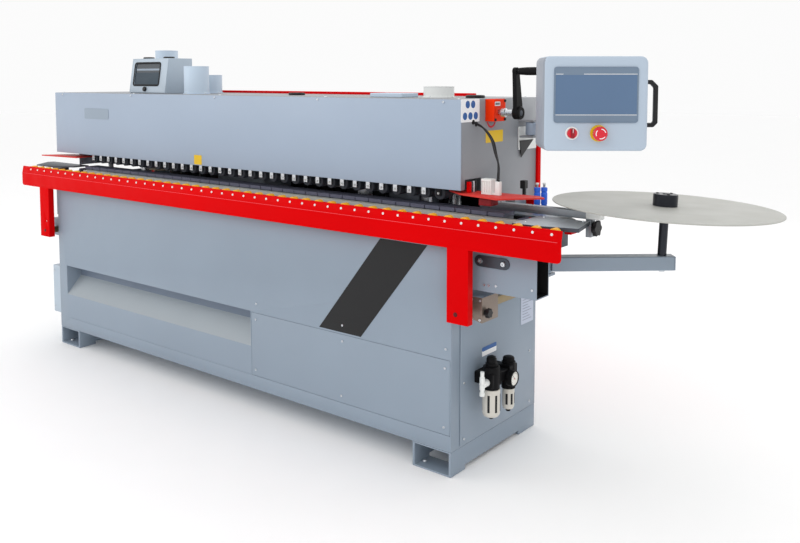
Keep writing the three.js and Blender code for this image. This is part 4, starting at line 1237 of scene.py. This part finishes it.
def panel_buttons():
    """The emergency stop on its collar and the selector on its ring."""
    z = BUTTON_Z
    matrix = panel_matrix()
    inward = matrix.to_3x3() @ Y
    toward = -inward
    place = panel_place(STOP_X, 0, z)
    turned("stop_collar", place, toward, solid((0.0215, 0), (0.022, 0.0008), (0.0212, 0.006)),
           "panel", yellow_plastic)
    stop = turned("stop_button", place - toward * 0.012, toward,
                  [(0, 0), (0.0088, 0), (0.0088, 0.0245), (0.0168, 0.0262), (0.0190, 0.0318),
                   (0.0184, 0.0388), (0.0155, 0.0423), (0.0090, 0.0437), (0, 0.0439)], "estop", red_plastic,
                  steps=56)
    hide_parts("estop_button")
    arcs = bmesh.new()
    for k in range(3):
        add_prism(arcs, arc_band(0.0135, 0.0115, 120 * k + 15, 70, 8), 0.0006, panel_face(STOP_X, -0.0312, z))
    finish_mesh("stop_arrows", arcs, "estop", white_film)
    place = panel_place(SELECTOR_X, 0, z)
    turned("selector_ring", place, toward,
           [(0.0135, 0), (0.0172, 0), (0.0172, 0.0032), (0.0160, 0.0042), (0.0135, 0.0042), (0.0135, 0)],
           "panel", white_plastic)
    knob = turned("selector_body", place - toward * 0.012, toward,
                  solid((0.0088, 0), (0.0088, 0.0152), (0.0130, 0.0152), (0.0127, 0.021), (0.0118, 0.0222)),
                  "selector", red_plastic, steps=48)
    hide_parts("selector_switch")
    bm = bmesh.new()
    half, reach = 0.0038, 0.0128
    add_box(bm, (SELECTOR_X - half, -0.0198, z - reach), (SELECTOR_X + half, -0.0095, z + reach), matrix)
    finish_mesh("selector_bar", bm, "selector", dark_red, 0.002, segments=3)
    line = ((SELECTOR_X - 0.0006, -0.0201, z + 0.002), (SELECTOR_X + 0.0006, -0.0197, z + 0.0118))
    boxes("selector_line", [line], "selector", white_film, 0, turn=matrix)
    places = [panel_place(x, PANEL_DEPTH, v) for x in (-0.118, 0.118) for v in (-0.10, 0.10)]
    screws("panel_screws", places, inward, "panel")


def handle():
    """An angular black bar with flat feet on the panel's right side."""
    side = 0.1395
    reach, thick, above = 0.0405, 0.0115, 0.016
    below = above * 0.7  # the lower corner is cut less
    top, bottom = 0.062, -0.064
    outer = solid((reach - above, top), (reach, top - above), (reach, bottom + below),
                  (reach - below, bottom))
    inner = [(0, top - thick), (reach - above - 0.004, top - thick), (reach - thick, top - above - 0.005),
             (reach - thick, bottom + below + 0.005), (reach - below - 0.004, bottom + thick),
             (0, bottom + thick)]
    bm = bmesh.new()
    matrix = panel_face(side, 0.069, 0)
    rings = [[bm.verts.new(matrix @ Vector((u, v, height))) for u, v in outline]
             for height in (0, 0.014) for outline in (outer, inner)]
    lower_out, lower_in, upper_out, upper_in = rings
    last = len(outer) - 1
    walls = ((lower_out, lower_in), (upper_in, upper_out), (upper_out, lower_out), (lower_in, upper_in))
    for i in range(last):
        for a, b in walls:
            bm.faces.new([a[i], a[i + 1], b[i + 1], b[i]])
    for i in (0, last):
        bm.faces.new([lower_out[i], lower_in[i], upper_in[i], upper_out[i]])
    bar = finish_mesh("panel_handle", bm, "panel", black_plastic, 0.0022, segments=3)
    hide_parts("hmi_handle")
    feet = [((side - 0.001, 0.052, z - 0.0095), (side + 0.005, 0.072, z + 0.0095)) for z in (0.055, -0.057)]
    boxes("handle_feet", feet, "panel", black_plastic, 0.002, turn=panel_matrix())


def pillow():
    """The swivel block on the panel's back, round the arm's pin."""
    arm_pin = at(0.455, -0.02, PANEL_AT[2])
    local = panel_matrix().inverted() @ arm_pin
    lug = ((local.x - 0.02, PANEL_DEPTH - 0.0005, -0.012), (local.x + 0.02, local.y, 0.012))
    boxes("panel_lug", [lug], "panel", light_paint, 0.002, turn=panel_matrix())
    turned("panel_swivel", arm_pin - Vector((0, 0, 0.012)), Z,
           [(0.0146, 0), (0.0255, 0), (0.027, 0.0015), (0.027, 0.0225), (0.0255, 0.024), (0.0146, 0.024),
            (0.0146, 0)], "panel", light_paint)


# ------------------------------------------------------------------ edge band disc
DISC = (0.545, 0.387, 0.898)
DISC_LEAN = math.radians(2.4)
ARM_PIVOT = (0.255, 0.140)
ARM_ANGLE = math.atan2(DISC[1] - ARM_PIVOT[1], DISC[0] - ARM_PIVOT[0])
ARM_REACH = math.hypot(DISC[1] - ARM_PIVOT[1], DISC[0] - ARM_PIVOT[0])


def disc_place(x, y, z):
    """A place in the disc's own axes, which lean outwards with the post."""
    lean = Matrix.Rotation(ARM_ANGLE, 4, "Z") @ Matrix.Rotation(DISC_LEAN, 4, "Y")
    return at(*DISC) + lean @ Vector((x, y, z))


def disc():
    """The leaning disc, its hub and three screws, over the arm."""
    centre = at(*DISC)
    up = disc_place(0, 0, 1) - centre
    board = turned("disc_plate", centre, up,
                   [(0.0096, 0.0001), (0.3485, 0.0001), (0.3493, 0.0008), (0.3493, 0.0032), (0.3485, 0.0039),
                    (0.0096, 0.0039), (0.0096, 0.0001)], "disc", disc_board, steps=160)
    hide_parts("band_disc")
    turned("disc_hub_top", centre, up,
           [(0.0096, 0.004), (0.0365, 0.004), (0.038, 0.005), (0.038, 0.0405), (0.0365, 0.042),
            (0.0135, 0.042), (0.0096, 0.040), (0.0096, 0.004)], "disc", post_black, steps=64)
    turned("disc_hub_lower", centre, up,
           [(0.0096, -0.012), (0.029, -0.012), (0.03, -0.011), (0.03, 0.0), (0.0096, 0.0), (0.0096, -0.012)],
           "disc", black_plastic, steps=64)
    screw_circle = 0.0255
    angles = [math.radians(30 + 120 * k) for k in range(3)]
    places = [disc_place(screw_circle * math.cos(a), screw_circle * math.sin(a), 0.0402) for a in angles]
    screws("disc_screws", places, up, "disc", screw_black)
    arm(up)


def arm(up):
    """The square arm, its boss, end cap, bolt and the black post."""
    length = ARM_REACH + 0.030
    turn = Matrix.Translation(at(*ARM_PIVOT, 0)) @ Matrix.Rotation(ARM_ANGLE, 4, "Z")
    bm = bmesh.new()
    add_box(bm, (0.02, -0.025, 0.700), (length - 0.003, 0.025, 0.745), turn)
    tube = finish_mesh("arm_tube", bm, "arm", grey_paint, 0.0035, segments=3)
    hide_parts("disc_arm")
    boxes("arm_cap", [((length - 0.0035, -0.0245, 0.7005), (length, 0.0245, 0.7445))], "arm", grey_paint,
          turn=turn)
    turned("arm_boss", at(*ARM_PIVOT, 0.695), Z,
           [(0.009, 0), (0.024, 0), (0.025, 0.001), (0.025, 0.053), (0.024, 0.054), (0.009, 0.054),
            (0.009, 0)], "arm", grey_paint)
    turned("arm_post", at(*DISC), up,
           solid((0.014, -0.153), (0.014, -0.0142), (0.009, -0.0138), (0.009, 0.0425), (0.0075, 0.044)),
           "arm", post_black)
    bolt = disc_place(0, 0, -0.154)
    turned("arm_bolt", Vector((bolt.x, bolt.y, 0.7002)), -Z,
           solid((0.011, 0), (0.011, 0.006), (0.009, 0.0075)), "arm", bright, steps=6, bevel=0.0006)


# ------------------------------------------------------------------ small parts at the infeed
def infeed_details():
    """The red stop and guard blocks, the white post and the sensor."""
    boxes("stop_block", [(at(0.37, 0.05, 0.8405), at(0.392, 0.098, 0.8578))], BASE, red_paint, 0.0015)
    boxes("beam_guard_block", [(at(0.045, 0.085, 0.893), at(0.092, 0.13, 0.9148))], PRESS, dark_red, 0.002)
    turned("infeed_post", at(-0.02, 0.245, 0.852), Z,
           solid((0.0075, 0), (0.0085, 0.001), (0.0085, 0.048), (0.0075, 0.05)),
           BASE, white_plastic, steps=32)
    boxes("sensor_stand", [(at(0.046, 0.362, 0.8522), at(0.056, 0.374, 0.92))], BASE, black_plastic, 0.0015)
    boxes("sensor_head", [(at(0.040, 0.356, 0.9195), at(0.060, 0.378, 0.948))], BASE, black_plastic, 0.002)


# ------------------------------------------------------------------ light, floor and camera
def stage():
    """A wide pale floor."""
    floor = bpy.data.meshes.new("floor")
    reach = 30
    corners = [(-reach, -reach, 0), (reach, -reach, 0), (reach, reach, 0), (-reach, reach, 0)]
    floor.from_pydata(corners, [], [(0, 1, 2, 3)])
    floor.materials.append(floor_paint)
    piece = put("floor", floor)


def area_light(name, place, target, size, power):
    """A soft rectangular light that looks at a target."""
    light = bpy.data.lights.new(name, "AREA")
    light.shape = "RECTANGLE"
    light.size, light.size_y = size
    light.energy = power
    piece = put(name, light)
    piece.location = place
    piece.rotation_euler = (Vector(target) - Vector(place)).to_track_quat("-Z", "Y").to_euler()


def lights():
    """A bright even studio with four soft lights."""
    bpy.context.scene.view_settings.view_transform = "Standard"
    world = bpy.data.worlds.new("studio")
    bpy.context.scene.world = world
    world.use_nodes = True
    background = world.node_tree.nodes["Background"]
    background.inputs["Color"].default_value = (1, 1, 1, 1)
    background.inputs["Strength"].default_value = 0.97
    area_light("key", (1.5, -4.5, 4.0), (0, 0, 0.8), (3.5, 2.5), 40)
    area_light("fill", (-4.0, -3.5, 2.6), (-0.4, 0, 0.7), (3.0, 2.5), 38)
    area_light("top", (0.0, 0.6, 4.6), (0, 0, 0.8), (5.0, 2.2), 12)
    area_light("rear", (1.0, 4.5, 3.0), (0, 0, 0.9), (4.0, 2.0), 25)


CAMERA_AT = (1.5312, -2.2155, 1.2985)
CAMERA_HEADING, CAMERA_PITCH = 38.17, 4.31
LENS, SENSOR, CAMERA_SHIFT = 38.33, 36, -0.16


def camera():
    """The photograph's view."""
    lens = bpy.data.cameras.new("camera")
    lens.lens = LENS
    lens.sensor_width = SENSOR
    lens.shift_y = CAMERA_SHIFT
    piece = put("camera", lens)
    piece.location = at(*CAMERA_AT)
    piece.rotation_euler = (math.radians(90 - CAMERA_PITCH), 0, math.radians(CAMERA_HEADING))
    bpy.context.scene.camera = piece


# ------------------------------------------------------------------ the scene
base_cabinet()
band_of_film()
service_labels()
rear_louvres()
socket_details()
chain()
table()
rail()
head()
casing_end()
instrument_box()
pressure()
crank()
units()
tool_heads()
guide()
air_service()
panel()
disc()
infeed_details()
stage()
lights()
camera()
